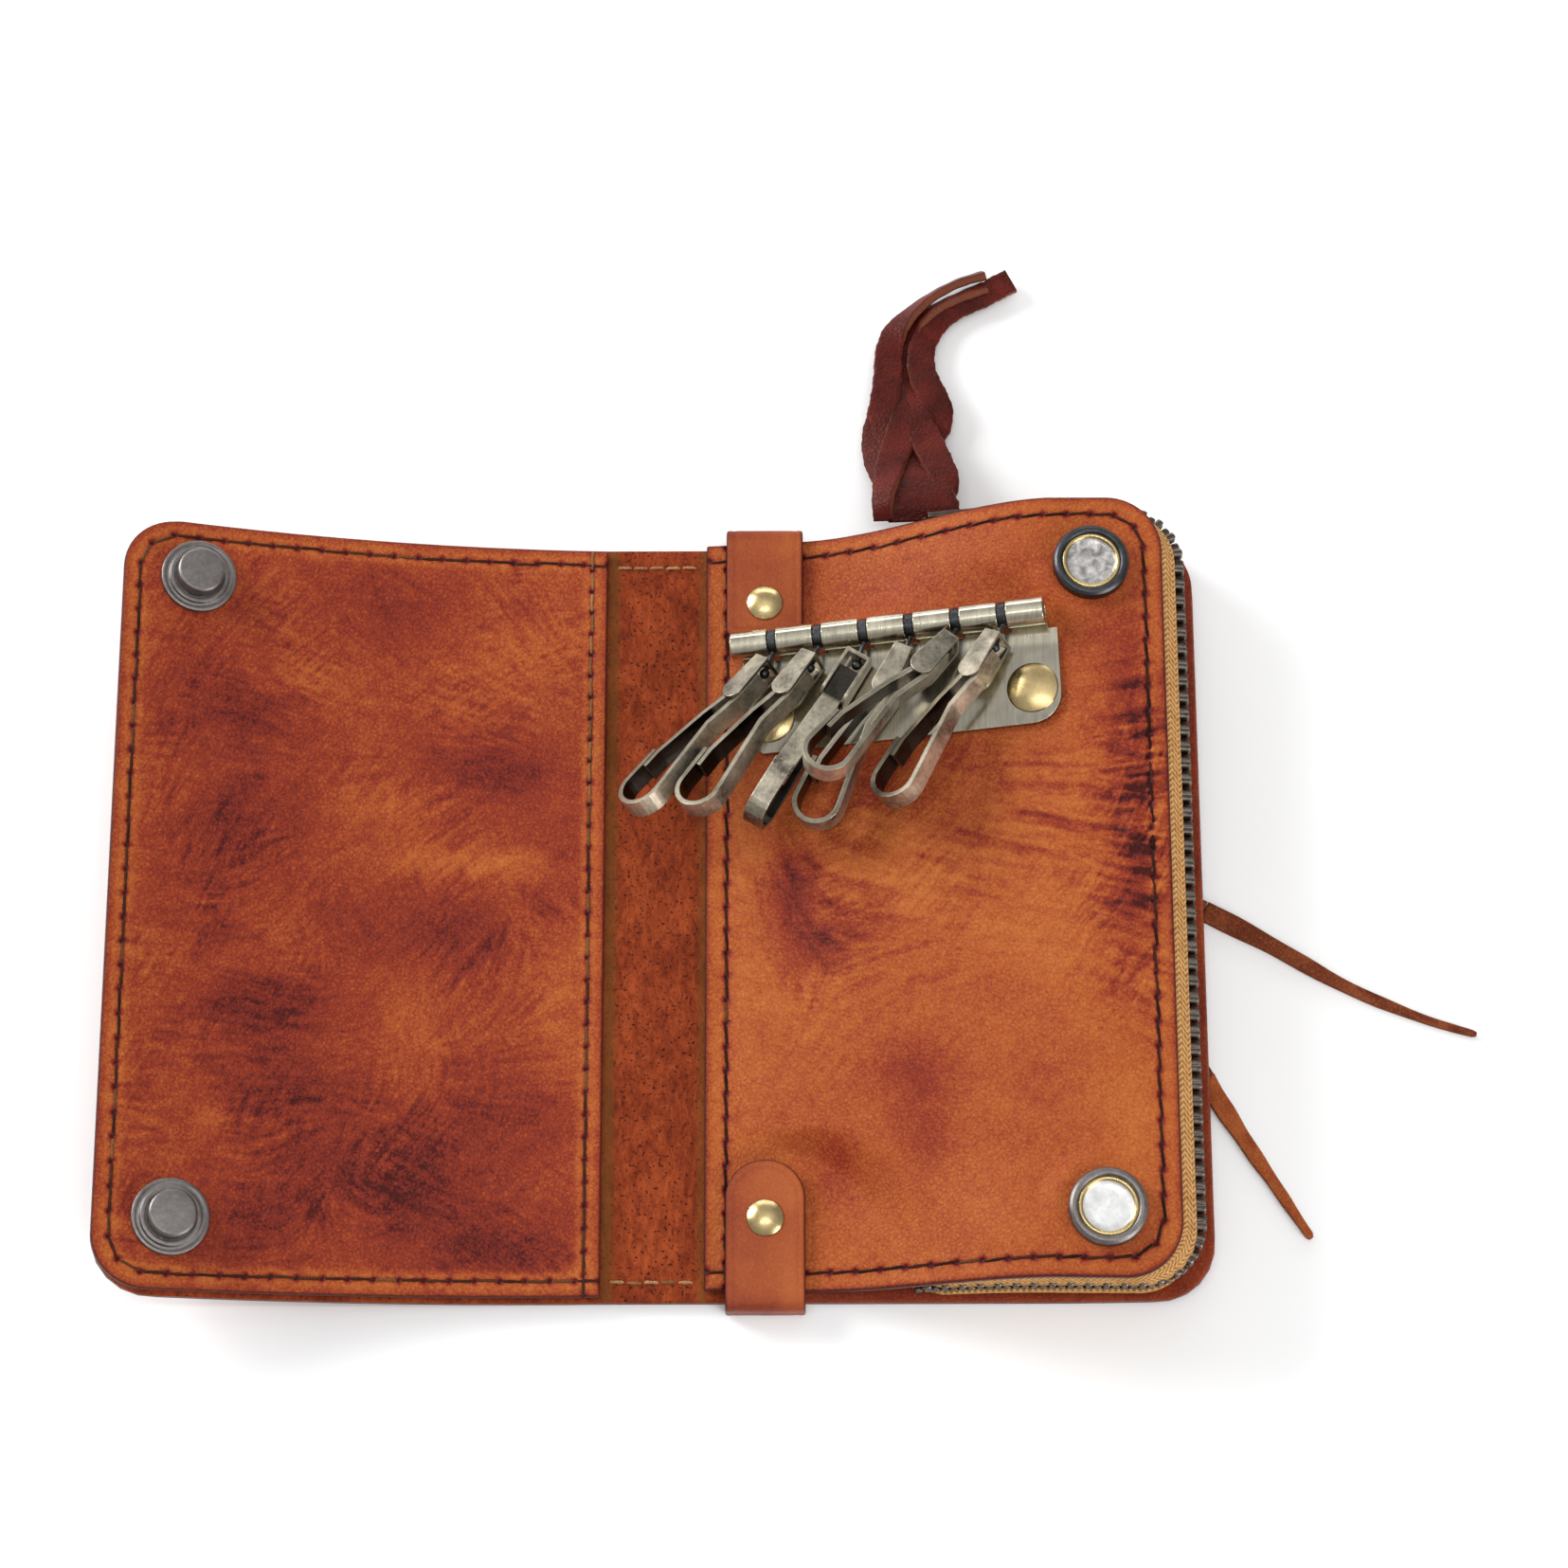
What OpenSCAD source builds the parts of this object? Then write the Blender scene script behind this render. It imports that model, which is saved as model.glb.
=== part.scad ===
// Bifold leather key case, lying open: a curled flap on the left, a spine, and a
// zipped pocket on the right whose face carries a row of six spring key hooks.
// Lengths are in millimetres. X runs across the case, Y up it, Z off the table.

/* [Case] */
// Height of the case along its folds
case_h = 126.4; // [112:0.2:140]
// Width of the flap, measured along the leather from its fold
flap_w = 80.2; // [76:0.2:84]
// Radius that the flap's leather curls up with
curl_r = 246; // [220:1:300]
// Distance between the two folds of the spine
spine_w = 15; // [14:0.1:16]
// Reach of the back cover beyond the spine's centre line
cover_reach = 88.8; // [87:0.1:94]
// Thickness of the cover leather
cover_t = 2.0; // [1.6:0.1:2.2]
// Thickness of the flap's lining
lining_t = 1.4; // [1:0.1:1.6]
// Inset of the lining from the flap's outline
lining_inset = 1.6; // [1:0.1:3]
// Radius of the outer corners
corner_r = 9; // [6:0.5:12]

/* [Pocket] */
// Reach of the pocket's front beyond the spine's centre line
panel_reach = 82.4; // [81.6:0.1:84]
// Thickness of the pocket's front leather
panel_t = 1.6; // [1.2:0.1:1.8]
// Slope of the pocket's front under the hook rail
ramp_a = 13; // [12:0.25:13.5]
// Distance from the spine's centre line to the foot of that slope
ramp_foot = 12; // [11:0.1:13]
// Inset of the pocket's front at its lower edge
panel_inset = 1.6; // [1.2:0.1:2.4]
// Rise of the upper edge from the spine to the free side
top_flare = 2.8; // [2:0.1:3.2]

/* [Snaps] */
// Distance of the studs from the line of the pocket's free edge, along the leather
snap_in_side = 14.0; // [13:0.1:15]
// Distance of the upper snaps from the case's upper edge
snap_in_up = 8.8; // [8.2:0.1:10]
// Distance of the lower snaps from the case's lower edge
snap_in_low = 11.4; // [10.4:0.1:13]
// Radius of the studs' and sockets' flanges
snap_r = 6.1; // [5.5:0.1:6.4]
// Radius of a stud's post
post_r = 3.8; // [3.2:0.1:3.9]
// Height of a stud's post above the leather
post_h = 3.9; // [3.2:0.1:4.2]
// Height of a socket above the leather
socket_h = 2.2; // [1.8:0.1:2.4]

/* [Hook rail] */
// Distance between neighbouring hooks along the rail
hook_pitch = 7.6; // [7.5:0.05:7.9]
// Length of one rolled barrel of the rail
barrel_l = 6.0; // [5.6:0.05:6.1]
// Radius of a barrel
barrel_r = 2.3; // [2.2:0.05:2.4]
// Radius of the pin through the barrels
pin_r = 1.4; // [1.2:0.05:1.5]
// Height of the pin's axis above the pocket's leather
pin_up = 3.15; // [2.9:0.05:3.2]
// Depth of the rail's plate below the pin
plate_depth = 18.2; // [17:0.1:20]
// Thickness of the plate
plate_t = 0.8; // [0.6:0.05:0.9]

/* [Key hooks] */
// Width of the spring strip
strip_w = 3.3; // [3:0.1:3.4]
// Thickness of the spring strip
strip_t = 0.8; // [0.6:0.05:0.9]
// Distance from the pin to the centre of the hook's bend
bend_u = 33.5; // [31:0.1:35]
// Radius of the bend at the strip's middle
bend_r = 3.7; // [3.4:0.05:3.9]
// Thickness of a bracket's cheeks
cheek_t = 0.5; // [0.4:0.05:0.6]
// Length of a bracket
bracket_l = 9.2; // [8.6:0.1:9.6]

/* [Zip] */
// Pitch of the teeth along one tape
tooth_pitch = 2.8; // [2.6:0.05:3]
// Length of the slider
slider_l = 8.4; // [7.6:0.1:9]
// Height of the slider's plates
slider_h = 5.0; // [4.6:0.1:5.2]
// Distance of the slider from the spine's centre line
slider_x = 49.5; // [49:0.1:50]

/* [Straps] */
// Width of the two riveted tabs
tab_w = 12.6; // [11:0.1:13]
// Thickness of the tabs
tab_t = 1.5; // [1.2:0.1:1.6]
// Width of the thong that the two laces belong to
lace_w = 3.6; // [3:0.1:4]
// Thickness of that thong
lace_t = 1.2; // [1:0.05:1.3]

/* [Hidden] */
$fn = 48;

// Colours as the photograph shows them
leather_col = [0.72, 0.30, 0.09];
suede_col = [0.50, 0.25, 0.09];
tab_col = [0.70, 0.33, 0.14];
gun_col = [0.33, 0.32, 0.30];
brass_col = [0.72, 0.62, 0.40];
strip_col = [0.50, 0.46, 0.38];
tape_col = [0.76, 0.50, 0.22];
puller_col = [0.36, 0.10, 0.07];
lace_col = [0.42, 0.20, 0.11];

// Clearances and overruns
over = 1;
skin_gap = 0.05;
fold_gap = 0.1;
leaf_gap = 0.15;
pin_gap = 0.05;

// Heights: the cover's underside is the resting plane
base_z = 0;
inner_z = base_z + cover_t;
half_h = case_h / 2;
fold_x = spine_w / 2;
snap_up = half_h - snap_in_up;
snap_low = half_h - snap_in_low;
stud_s = panel_reach - snap_in_side;

// The flap's section: s runs along the leather from the fold, d is the height in it
curl_steps = 20;
function curl_angle(s) = s / curl_r * 180 / PI;
function flap_pt(s, d) =
    let (a = curl_angle(s), r = curl_r - d)
    [-fold_x - fold_gap - r * sin(a), base_z + curl_r - r * cos(a)];
function flap_band(s0, s1, d0, d1) = concat(
    [for (i = [0:curl_steps]) flap_pt(s0 + (s1 - s0) * i / curl_steps, d0)],
    [for (i = [curl_steps:-1:0]) flap_pt(s0 + (s1 - s0) * i / curl_steps, d1)]
);

// A band section carried along Y
module along_y(points, length) {
    rotate([90, 0, 0]) translate([0, 0, -length]) linear_extrude(2 * length) polygon(points);
}

// The corner's quarter round, from angle a0, about c
corner_steps = 8;
function corner(c, r, a0) = [for (i = [0:corner_steps])
    c + r * [cos(a0 + 90 * i / corner_steps), sin(a0 + 90 * i / corner_steps)]];

flap_flare_up = 1.6;
flap_flare_low = 0.7;
flap_end_x = flap_pt(flap_w, 0)[0] - skin_gap;
module flap_outline(inset, x_right) {
    x0 = flap_end_x + inset;
    y1 = half_h + flap_flare_up - inset;
    y0 = -half_h - flap_flare_low + inset;
    polygon(concat(
        [[x_right, -half_h + inset], [x_right, half_h - inset]],
        corner([x0 + corner_r, y1 - corner_r], corner_r, 90),
        corner([x0 + corner_r, y0 + corner_r], corner_r, 180)
    ));
}

// A frame on the flap's inner face, with its Z along the leather's normal
module on_flap(s, y, d) {
    p = flap_pt(s, d);
    translate([p[0], y, p[1]]) rotate([0, curl_angle(s), 0]) children();
}
lining_top = cover_t + skin_gap + lining_t;

// How the case closes: the spine stands up and the flap folds over the pocket
spine_close = 75;
flap_close = 90.2;
stack_gap = 5.4;
function turn_y(p, c, a) =
    let (x = p[0] - c[0], z = p[1] - c[1])
    [c[0] + x * cos(a) + z * sin(a), c[1] - x * sin(a) + z * cos(a)];
stud_p = flap_pt(stud_s, lining_top + stack_gap);
stud_half = turn_y(stud_p, [-fold_x, inner_z], flap_close);
socket_p = turn_y(stud_half, [fold_x, inner_z], spine_close);
socket_tilt = curl_angle(stud_s) + flap_close + spine_close - 180;

// The pocket's front: flat at the spine, a plane ramp under the rail, an S at its
// upper and lower edges, and a level pad under each socket
panel_left = fold_x + 0.9;
panel_top_z = inner_z + skin_gap + panel_t;
rail_x = 12.8;
hook_count = 6;
rail_l = hook_count * hook_pitch + barrel_l;
ramp_past = 1.322;
ramp_end = rail_x + rail_l * cos(ramp_a) + ramp_past;
level_start = panel_reach - 0.4;
s_start = 24;
s_end = 64;
pad_r = snap_r + 0.8;
pad_fade = 4;
up_in = [20.6, 15.7, 16.6, 5.2];
low_in = [27.6, 23.2, 22.6, 7.2];
up_start = [half_h - up_in[0], half_h - up_in[1]];
up_end = [half_h - up_in[2], half_h - up_in[3]];
low_start = [half_h - low_in[0], half_h - low_in[1]];
low_end = [half_h - low_in[2], half_h - low_in[3]];
function away(pair, x) = pair[0] + (pair[1] - pair[0]) * smooth((x - s_start) / (s_end - s_start) * 2);
function smooth(t) = let (c = min(1, max(0, t))) c * c * (3 - 2 * c);
ramp_rise = (ramp_end - ramp_foot) * tan(ramp_a);
full_rise = ramp_rise + tan(ramp_a) * (level_start - ramp_end) / 2;
function ramp_z(x) =
    x < ramp_foot ? 0
    : x < ramp_end ? (x - ramp_foot) * tan(ramp_a)
    : ramp_rise + tan(ramp_a) * (min(x, level_start) - ramp_end)
        * (1 - (min(x, level_start) - ramp_end) / (level_start - ramp_end) / 2);
function edge_z(x) = full_rise * smooth((x - s_start) / (s_end - s_start));
function edge_share(x, y) = y > 0
    ? smooth((y - away(up_start, x)) / (away(up_end, x) - away(up_start, x)))
    : smooth((-y - away(low_start, x)) / (away(low_end, x) - away(low_start, x)));
function pad_share(x, y) =
    let (d = min(norm([x - socket_p[0], y - snap_up]), norm([x - socket_p[0], y + snap_low])))
    1 - smooth((d - pad_r) / pad_fade);
function pad_z(x) = socket_p[1] - skin_gap - (x - socket_p[0]) * tan(socket_tilt);
function panel_z(x, y) =
    let (
        e = edge_share(x, y),
        p = pad_share(x, y),
        free = panel_top_z + ramp_z(x) * (1 - e) + edge_z(x) * e
    )
    free * (1 - p) + pad_z(x) * p;

// The pocket front's outline: its upper edge rises to the free side
panel_over = 0.2;
low_flare = 1.1;
function panel_top_y(x) =
    half_h + panel_over + top_flare * min(1, (x - panel_left) / (s_end - panel_left));
function panel_low_y(x) =
    -half_h + panel_inset - low_flare * (x - panel_left) / (panel_reach - panel_left);
function round_off(x) =
    let (xc = panel_reach - corner_r)
    x <= xc ? 0 : corner_r - sqrt(max(0, corner_r * corner_r - (x - xc) * (x - xc)));
panel_cols = 26;
rows_low_in = [1.2, 3.2, 5.2, 7.2, 9.2, 11.2, 13.2, 16.2, 19.2, 21.7, 23.2, 24.8, 26.4, 28.6];
rows_mid_shares = [-0.38, -0.19, 0, 0.19, 0.38, 0.54];
rows_up_in = [21.2, 19.6, 18.4, 17.2, 16.2, 14.2, 12.2, 10.2, 8.2, 6.2, 4.2, 2.2, 0.2];
panel_ys = concat(
    [for (d = rows_low_in) d - half_h],
    [for (share = rows_mid_shares) half_h * share],
    [for (d = rows_up_in) half_h - d]
);
panel_rows = len(panel_ys) - 1;
function row_share(j) = (panel_ys[j] - panel_ys[0]) / (panel_ys[panel_rows] - panel_ys[0]);
panel_xs = concat(
    [for (i = [0:panel_cols]) panel_left + (panel_reach - corner_r - panel_left) * i / panel_cols],
    [for (j = [1:corner_steps]) panel_reach - corner_r + corner_r * sin(90 * j / corner_steps)]
);

// A sheet from a grid of points: n columns of m points, above and below
module sheet_solid(upper, lower, n, m) {
    k = n * m;
    polyhedron(
        points = concat(upper, lower),
        faces = concat(
            [for (i = [0:n - 2], j = [0:m - 2]) each [
                [i * m + j, i * m + j + 1, (i + 1) * m + j + 1],
                [i * m + j, (i + 1) * m + j + 1, (i + 1) * m + j],
                [k + i * m + j, k + (i + 1) * m + j + 1, k + i * m + j + 1],
                [k + i * m + j, k + (i + 1) * m + j, k + (i + 1) * m + j + 1]
            ]],
            [for (i = [0:n - 2]) each [
                [i * m, (i + 1) * m, k + (i + 1) * m],
                [i * m, k + (i + 1) * m, k + i * m],
                [(i + 1) * m - 1, k + (i + 1) * m - 1, k + (i + 2) * m - 1],
                [(i + 1) * m - 1, k + (i + 2) * m - 1, (i + 2) * m - 1]
            ]],
            [for (j = [0:m - 2]) each [
                [j, k + j, k + j + 1],
                [j, k + j + 1, j + 1],
                [(n - 1) * m + j, k + (n - 1) * m + j + 1, k + (n - 1) * m + j],
                [(n - 1) * m + j, (n - 1) * m + j + 1, k + (n - 1) * m + j + 1]
            ]]
        )
    );
}

module cover_flap() {
    color(leather_col) difference() {
        intersection() {
            along_y(flap_band(0, flap_w, 0, cover_t), case_h);
            linear_extrude(case_h) flap_outline(0, -fold_x);
        }
        stud_holes();
    }
}

module flap_lining() {
    color(leather_col) difference() {
        intersection() {
            along_y(flap_band(lining_root, flap_w - lining_inset, cover_t + skin_gap, lining_top), case_h);
            linear_extrude(case_h) flap_outline(lining_inset, -fold_x);
        }
        stud_holes();
    }
}
lining_root = 0.8;
shank_r = 1.6;
module stud_holes() {
    for (y = [snap_up, -snap_low])
        on_flap(stud_s, y, 0) cylinder(r = shank_r, h = 4 * cover_t + over, center = true);
}

module cover_spine() {
    color(suede_col) translate([-fold_x + fold_gap, -half_h, base_z])
        cube([spine_w - 2 * fold_gap, case_h, cover_t]);
}

// The back cover lies flat and curls off the table towards its free edge
back_curl_x = 60;
back_curl_r = 170;
back_steps = 10;
function back_pt(x, d) =
    x <= back_curl_x ? [x, base_z + d]
    : let (a = (x - back_curl_x) / back_curl_r * 180 / PI, r = back_curl_r - d)
    [back_curl_x + r * sin(a), base_z + back_curl_r - r * cos(a)];
function back_top(x) = inner_z + (x > back_curl_x ? pow(x - back_curl_x, 2) / 2 / back_curl_r : 0);
function back_xs() = [for (i = [0:back_steps]) back_curl_x + (cover_reach - back_curl_x) * i / back_steps];
module cover_back() {
    x0 = fold_x + fold_gap;
    x1 = cover_reach;
    y1 = half_h + 0.5 * top_flare;
    color(leather_col) difference() {
        intersection() {
            along_y(concat(
                [[x0, base_z]], [for (x = back_xs()) back_pt(x, 0)],
                [for (i = [back_steps:-1:0]) back_pt(back_xs()[i], cover_t)], [[x0, inner_z]]
            ), case_h);
            linear_extrude(case_h) polygon(concat(
                [[x0, half_h], [x0, -half_h]],
                corner([x1 - corner_r, -half_h + corner_r], corner_r, 270),
                corner([x1 - corner_r, y1 - corner_r], corner_r, 0)
            ));
        }
        tab_recess(half_h, -1);
        tab_recess(-half_h, 1);
        rivet_holes();
        for (p = [thong_a, thong_b])
            translate([p[0], p[1], 0])
                cube([slit_l, lace_w + 2 * skin_gap, 3 * case_h], center = true);
    }
}

module pocket_front() {
    n = len(panel_xs);
    m = panel_rows + 1;
    function row_y(x, j) =
        let (y1 = panel_top_y(x) - round_off(x), y0 = panel_low_y(x) + round_off(x))
        y0 + (y1 - y0) * row_share(j);
    upper = [for (x = panel_xs, j = [0:panel_rows]) [x, row_y(x, j), panel_z(x, row_y(x, j))]];
    lower = [for (p = upper) p - [0, 0, panel_t]];
    color(leather_col) difference() {
        sheet_solid(upper, lower, n, m);
        rivet_holes();
        for (y = [snap_up, -snap_low]) at_socket(y) cylinder(r = shank_r, h = 4 * panel_t, center = true);
        for (r = rail_rivet_r) in_rail() translate([r, rail_rivet_s, 0])
            cylinder(r = rail_shank_r, h = 6 * pin_up, center = true);
    }
}

// Snaps: studs on the flap, sockets on the pocket
flange_t = 0.9;
shoulder_r = snap_r - 1.3;
shoulder_t = 0.5;
cap_t = 0.9;
module stud(y) {
    color(gun_col) on_flap(stud_s, y, lining_top + skin_gap) {
        cylinder(r = snap_r, h = flange_t);
        cylinder(r = shoulder_r, h = flange_t + shoulder_t);
        cylinder(r = post_r, h = post_h);
    }
}
module stud_upper() { stud(snap_up); }
module stud_lower() { stud(-snap_low); }
// The caps' tubes pass the leather to the studs
module stud_caps() {
    color(gun_col) for (y = [snap_up, -snap_low])
        on_flap(stud_s, y, 0) {
            translate([0, 0, -cap_t - skin_gap]) cylinder(r = snap_r, h = cap_t);
            translate([0, 0, -cap_t / 2]) cylinder(r = shank_r - skin_gap, h = lining_top + cap_t / 2);
        }
}

module at_socket(y) {
    translate([socket_p[0], y, socket_p[1]]) rotate([0, socket_tilt, 0]) children();
}
hole_r = post_r + 0.8;
ring_hole_r = post_r + 0.45;
pan_t = 0.5;
groove_z = 1.1;
groove_h = 0.7;
module socket(y) {
    color(gun_col) at_socket(y) difference() {
        cylinder(r = snap_r, h = socket_h);
        translate([0, 0, pan_t]) cylinder(r = hole_r, h = socket_h);
    }
}
module socket_upper() { socket(snap_up); }
module socket_lower() { socket(-snap_low); }
module spring_rings() {
    color(brass_col) for (y = [snap_up, -snap_low])
        at_socket(y) translate([0, 0, groove_z]) difference() {
            cylinder(r = hole_r - skin_gap, h = groove_h);
            translate([0, 0, -over]) cylinder(r = ring_hole_r, h = groove_h + 2 * over);
        }
}
module socket_backs() {
    color(gun_col) for (y = [snap_up, -snap_low])
        at_socket(y) {
            translate([0, 0, -panel_t - 3 * skin_gap - cap_t]) cylinder(r = snap_r - 0.6, h = cap_t);
            translate([0, 0, -panel_t - cap_t]) cylinder(r = shank_r - skin_gap, h = panel_t + cap_t);
        }
}

// Tabs: each wraps the pocket's front and the cover, skived where it runs below
tab_x = 11.7;
tab_mid = tab_x + tab_w / 2;
tab_up_in = 16.3;
tab_low_in = 22.2;
tab_up_end = half_h - tab_up_in;
tab_low_end = half_h - tab_low_in;
tab_leg_t = 0.85;
rivet_up_in = 10.6;
rivet_low_in = 12.8;
tab_rivet_y = [half_h - rivet_up_in, rivet_low_in - half_h];
tab_leg_l = 17;
leg_cap_t = 0.35;
leg_z = leg_cap_t;
tab_rivet_r = 3.0;
module tab_recess(y, way) {
    translate([tab_x - leaf_gap, way > 0 ? y - over : y - tab_leg_l - leaf_gap, base_z - over])
        cube([tab_w + 2 * leaf_gap, tab_leg_l + leaf_gap + over, over + leg_z + tab_leg_t + fold_gap - base_z]);
}
tab_bevel = 0.5;
tab_gap = 0.1;
tab_high = panel_top_z + tab_gap;
tab_edge_up = panel_top_y(tab_x + tab_w) + leaf_gap;
tab_edge_low = half_h + 0.35;
function tab_section(edge, end, leg) = [
    [end, leg_z], [edge + tab_t - tab_bevel, leg_z], [edge + tab_t, leg_z + tab_bevel],
    [edge + tab_t, tab_high + tab_t - tab_bevel], [edge + tab_t - tab_bevel, tab_high + tab_t],
    [leg, tab_high + tab_t], [leg, tab_high], [edge, tab_high],
    [edge, leg_z + tab_leg_t], [end, leg_z + tab_leg_t]
];
module tab_wrap(edge, leg) {
    translate([tab_x, 0, 0]) rotate([90, 0, 90]) linear_extrude(tab_w)
        polygon(tab_section(edge, half_h - tab_leg_l, leg));
}
module upper_tab() {
    color(tab_col) difference() {
        tab_wrap(tab_edge_up, tab_up_end);
        rivet_holes();
    }
}
module lower_tab() {
    r = tab_w / 2;
    color(tab_col) difference() {
        union() {
            mirror([0, 1, 0]) tab_wrap(tab_edge_low, tab_low_end + r);
            translate([tab_mid, -tab_low_end - r, tab_high]) cylinder(r = r, h = tab_t);
        }
        rivet_holes();
    }
}
module rivet_holes() {
    for (y = tab_rivet_y)
        translate([tab_mid, y, -over])
            cylinder(r = shank_r, h = inner_z + 6 * tab_t);
}
dome_h = 1.0;
module dome(r, h) {
    ball = (r * r + h * h) / 2 / h;
    rotate_extrude() intersection() {
        translate([0, h - ball]) circle(r = ball, $fn = 128);
        square([r, h]);
    }
}
module tab_rivets() {
    color(brass_col) for (y = tab_rivet_y)
        translate([tab_mid, y, 0]) {
            cylinder(r = tab_rivet_r, h = leg_cap_t);
            cylinder(r = shank_r - skin_gap, h = tab_high + tab_t + skin_gap + dome_h / 2);
            translate([0, 0, tab_high + tab_t + skin_gap]) dome(tab_rivet_r, dome_h);
        }
}

// The rail's frame: X along the pin, Y up the case, Z off the pocket's ramp
rail_in = 19.0;
rail_y = half_h - rail_in;
rail_turn = 2.2;
module in_rail() {
    translate([rail_x, rail_y, panel_top_z + (rail_x - ramp_foot) * tan(ramp_a) + pin_up / cos(ramp_a)])
        rotate([0, -ramp_a, 0]) rotate([0, 0, rail_turn]) children();
}
barrel_gap = hook_pitch - barrel_l;
function gap_r(k) = barrel_l + barrel_gap / 2 + (k - 1) * hook_pitch;
barrel_wall = 0.8;
plate_end = 1.6;
plate_start = 0.8;
plate_corner = 4.9;
plate_nip = 1.5;
rail_rivet_r = [5.2, 48.6];
rail_rivet_s = -12.2;
rail_rivet_cap = 4.2;
rail_shank_r = 1.5;
rail_dome_h = 1.0;
plate_low = leaf_gap - pin_up;
module rail_plate() {
    x0 = plate_start;
    x1 = rail_l + plate_end;
    color(gun_col) in_rail() difference() {
        union() {
            translate([0, 0, plate_low]) linear_extrude(plate_t) polygon(concat(
                [[x0, 0], [x0 + plate_nip, -plate_depth + plate_nip], [x0 + 2 * plate_nip, -plate_depth]],
                corner([x1 - plate_corner, -plate_depth + plate_corner], plate_corner, 270),
                [[x1, -barrel_r], [rail_l, -barrel_r], [rail_l, 0]]
            ));
            for (k = [0:hook_count])
                translate([k * hook_pitch, 0, 0]) rotate([0, 90, 0]) cylinder(r = barrel_r, h = barrel_l);
        }
        translate([-over, 0, 0]) rotate([0, 90, 0])
            cylinder(r = pin_r + pin_gap, h = rail_l + 2 * over);
        for (k = [1:hook_count])
            translate([gap_r(k) - barrel_gap / 2, -barrel_r, -barrel_r - plate_t])
                cube([barrel_gap, 2 * barrel_r, 2 * barrel_r]);
        for (r = rail_rivet_r)
            translate([r, rail_rivet_s, plate_low - over])
                cylinder(r = rail_shank_r + skin_gap, h = plate_t + 2 * over);
    }
}
pin_recess = 1.2;
module rail_pin() {
    color(gun_col) in_rail() translate([pin_recess, 0, 0]) rotate([0, 90, 0])
        cylinder(r = pin_r, h = rail_l - 2 * pin_recess);
}
module rail_rivets() {
    top = plate_low + plate_t + skin_gap;
    back = -pin_up - panel_t - cap_t - leaf_gap;
    color(brass_col) in_rail() for (r = rail_rivet_r)
        translate([r, rail_rivet_s, 0]) {
            translate([0, 0, top]) dome(rail_rivet_cap, rail_dome_h);
            translate([0, 0, back]) cylinder(r = rail_shank_r - skin_gap, h = top + rail_dome_h / 2 - back);
            translate([0, 0, back]) cylinder(r = rail_rivet_cap - 1, h = cap_t);
        }
}

// Key hooks. Each lies as it fell: its lean to the left of straight down the case, its
// roll about its own length, and its lift off the ramp, in degrees
hook_lean = [41.7, 36.2, 33.7, 28.5, 40.7, 33.0];
hook_roll = [30.3, 19.2, -97.5, 0.8, -0.2, 22.5];
hook_lift = [10.4, 12.5, 3.7, 3.8, 18.7, 8.7];
eye_r = 2.05;
eye_t = 1.1;
shank_in = 0.5;
shank_out = 1.0;
shank_l = 4.4;
shank_turn = atan((shank_in + shank_out) / shank_l);
neck_r = 0.4;
head_r = 0.85;
head_past = 1.5;
neck_l = norm([shank_in + shank_out, shank_l]) + head_past;
web_u = 4.2;
web_t = 0.6;
turn_u = web_u + web_t / 2;
module at_pin(k) {
    in_rail() translate([gap_r(k), 0, 0]) children();
}
// A hook turns about the point where the shank runs through its bracket's web
module on_hook(k) {
    at_pin(k)
        translate([-shank_out, -shank_l * cos(hook_lift[k - 1]), shank_l * sin(hook_lift[k - 1])])
            rotate([0, 0, -hook_lean[k - 1]]) rotate([-hook_lift[k - 1], 0, 0])
                rotate([0, -hook_roll[k - 1], 0]) translate([0, turn_u, 0]) children();
}

// The eye turns on the rail's pin and its headed shank holds the bracket
module eye(k) {
    color(gun_col) at_pin(k) difference() {
        union() {
            rotate([0, 90, 0]) cylinder(r = eye_r, h = eye_t, center = true);
            rotate([-hook_lift[k - 1], 0, 0]) translate([shank_in, 0, 0]) rotate([0, 0, -shank_turn]) {
                rotate([90, 0, 0]) cylinder(r = neck_r, h = neck_l);
                translate([0, -neck_l, 0]) sphere(r = head_r);
            }
        }
        rotate([0, 90, 0]) cylinder(r = pin_r + pin_gap, h = 4 * eye_t, center = true);
    }
}

// The bracket: two rounded cheeks joined by a web, with a square pin across them
cheek_gap = strip_w / 2 + fold_gap;
cheek_top = 1.5;
cheek_r = 2.0;
cheek_end = web_u + bracket_l;
web_hole_r = 0.76;
square_pin = 1.2;
square_u = 8.2;
square_v = 0.45;
module cheek() {
    linear_extrude(cheek_t) union() {
        translate([0, -cheek_end + cheek_r]) circle(r = cheek_r);
        polygon([
            [-cheek_top, -web_u], [cheek_top, -web_u],
            [cheek_r, -cheek_end + cheek_r], [-cheek_r, -cheek_end + cheek_r]
        ]);
    }
}
module bracket(k) {
    color(brass_col) on_hook(k) difference() {
        union() {
            translate([0, 0, cheek_gap]) cheek();
            translate([0, 0, -cheek_gap - cheek_t]) cheek();
            translate([-cheek_top, -web_u - web_t, -cheek_gap - cheek_t])
                cube([2 * cheek_top, web_t, 2 * cheek_gap + 2 * cheek_t]);
            translate([square_v - square_pin / 2, -square_u - square_pin / 2, -cheek_gap - cheek_t / 2])
                cube([square_pin, square_pin, 2 * cheek_gap + cheek_t]);
        }
        translate([0, -web_u + over, 0]) rotate([90, 0, 0]) cylinder(r = web_hole_r, h = web_t + 2 * over);
    }
}

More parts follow.
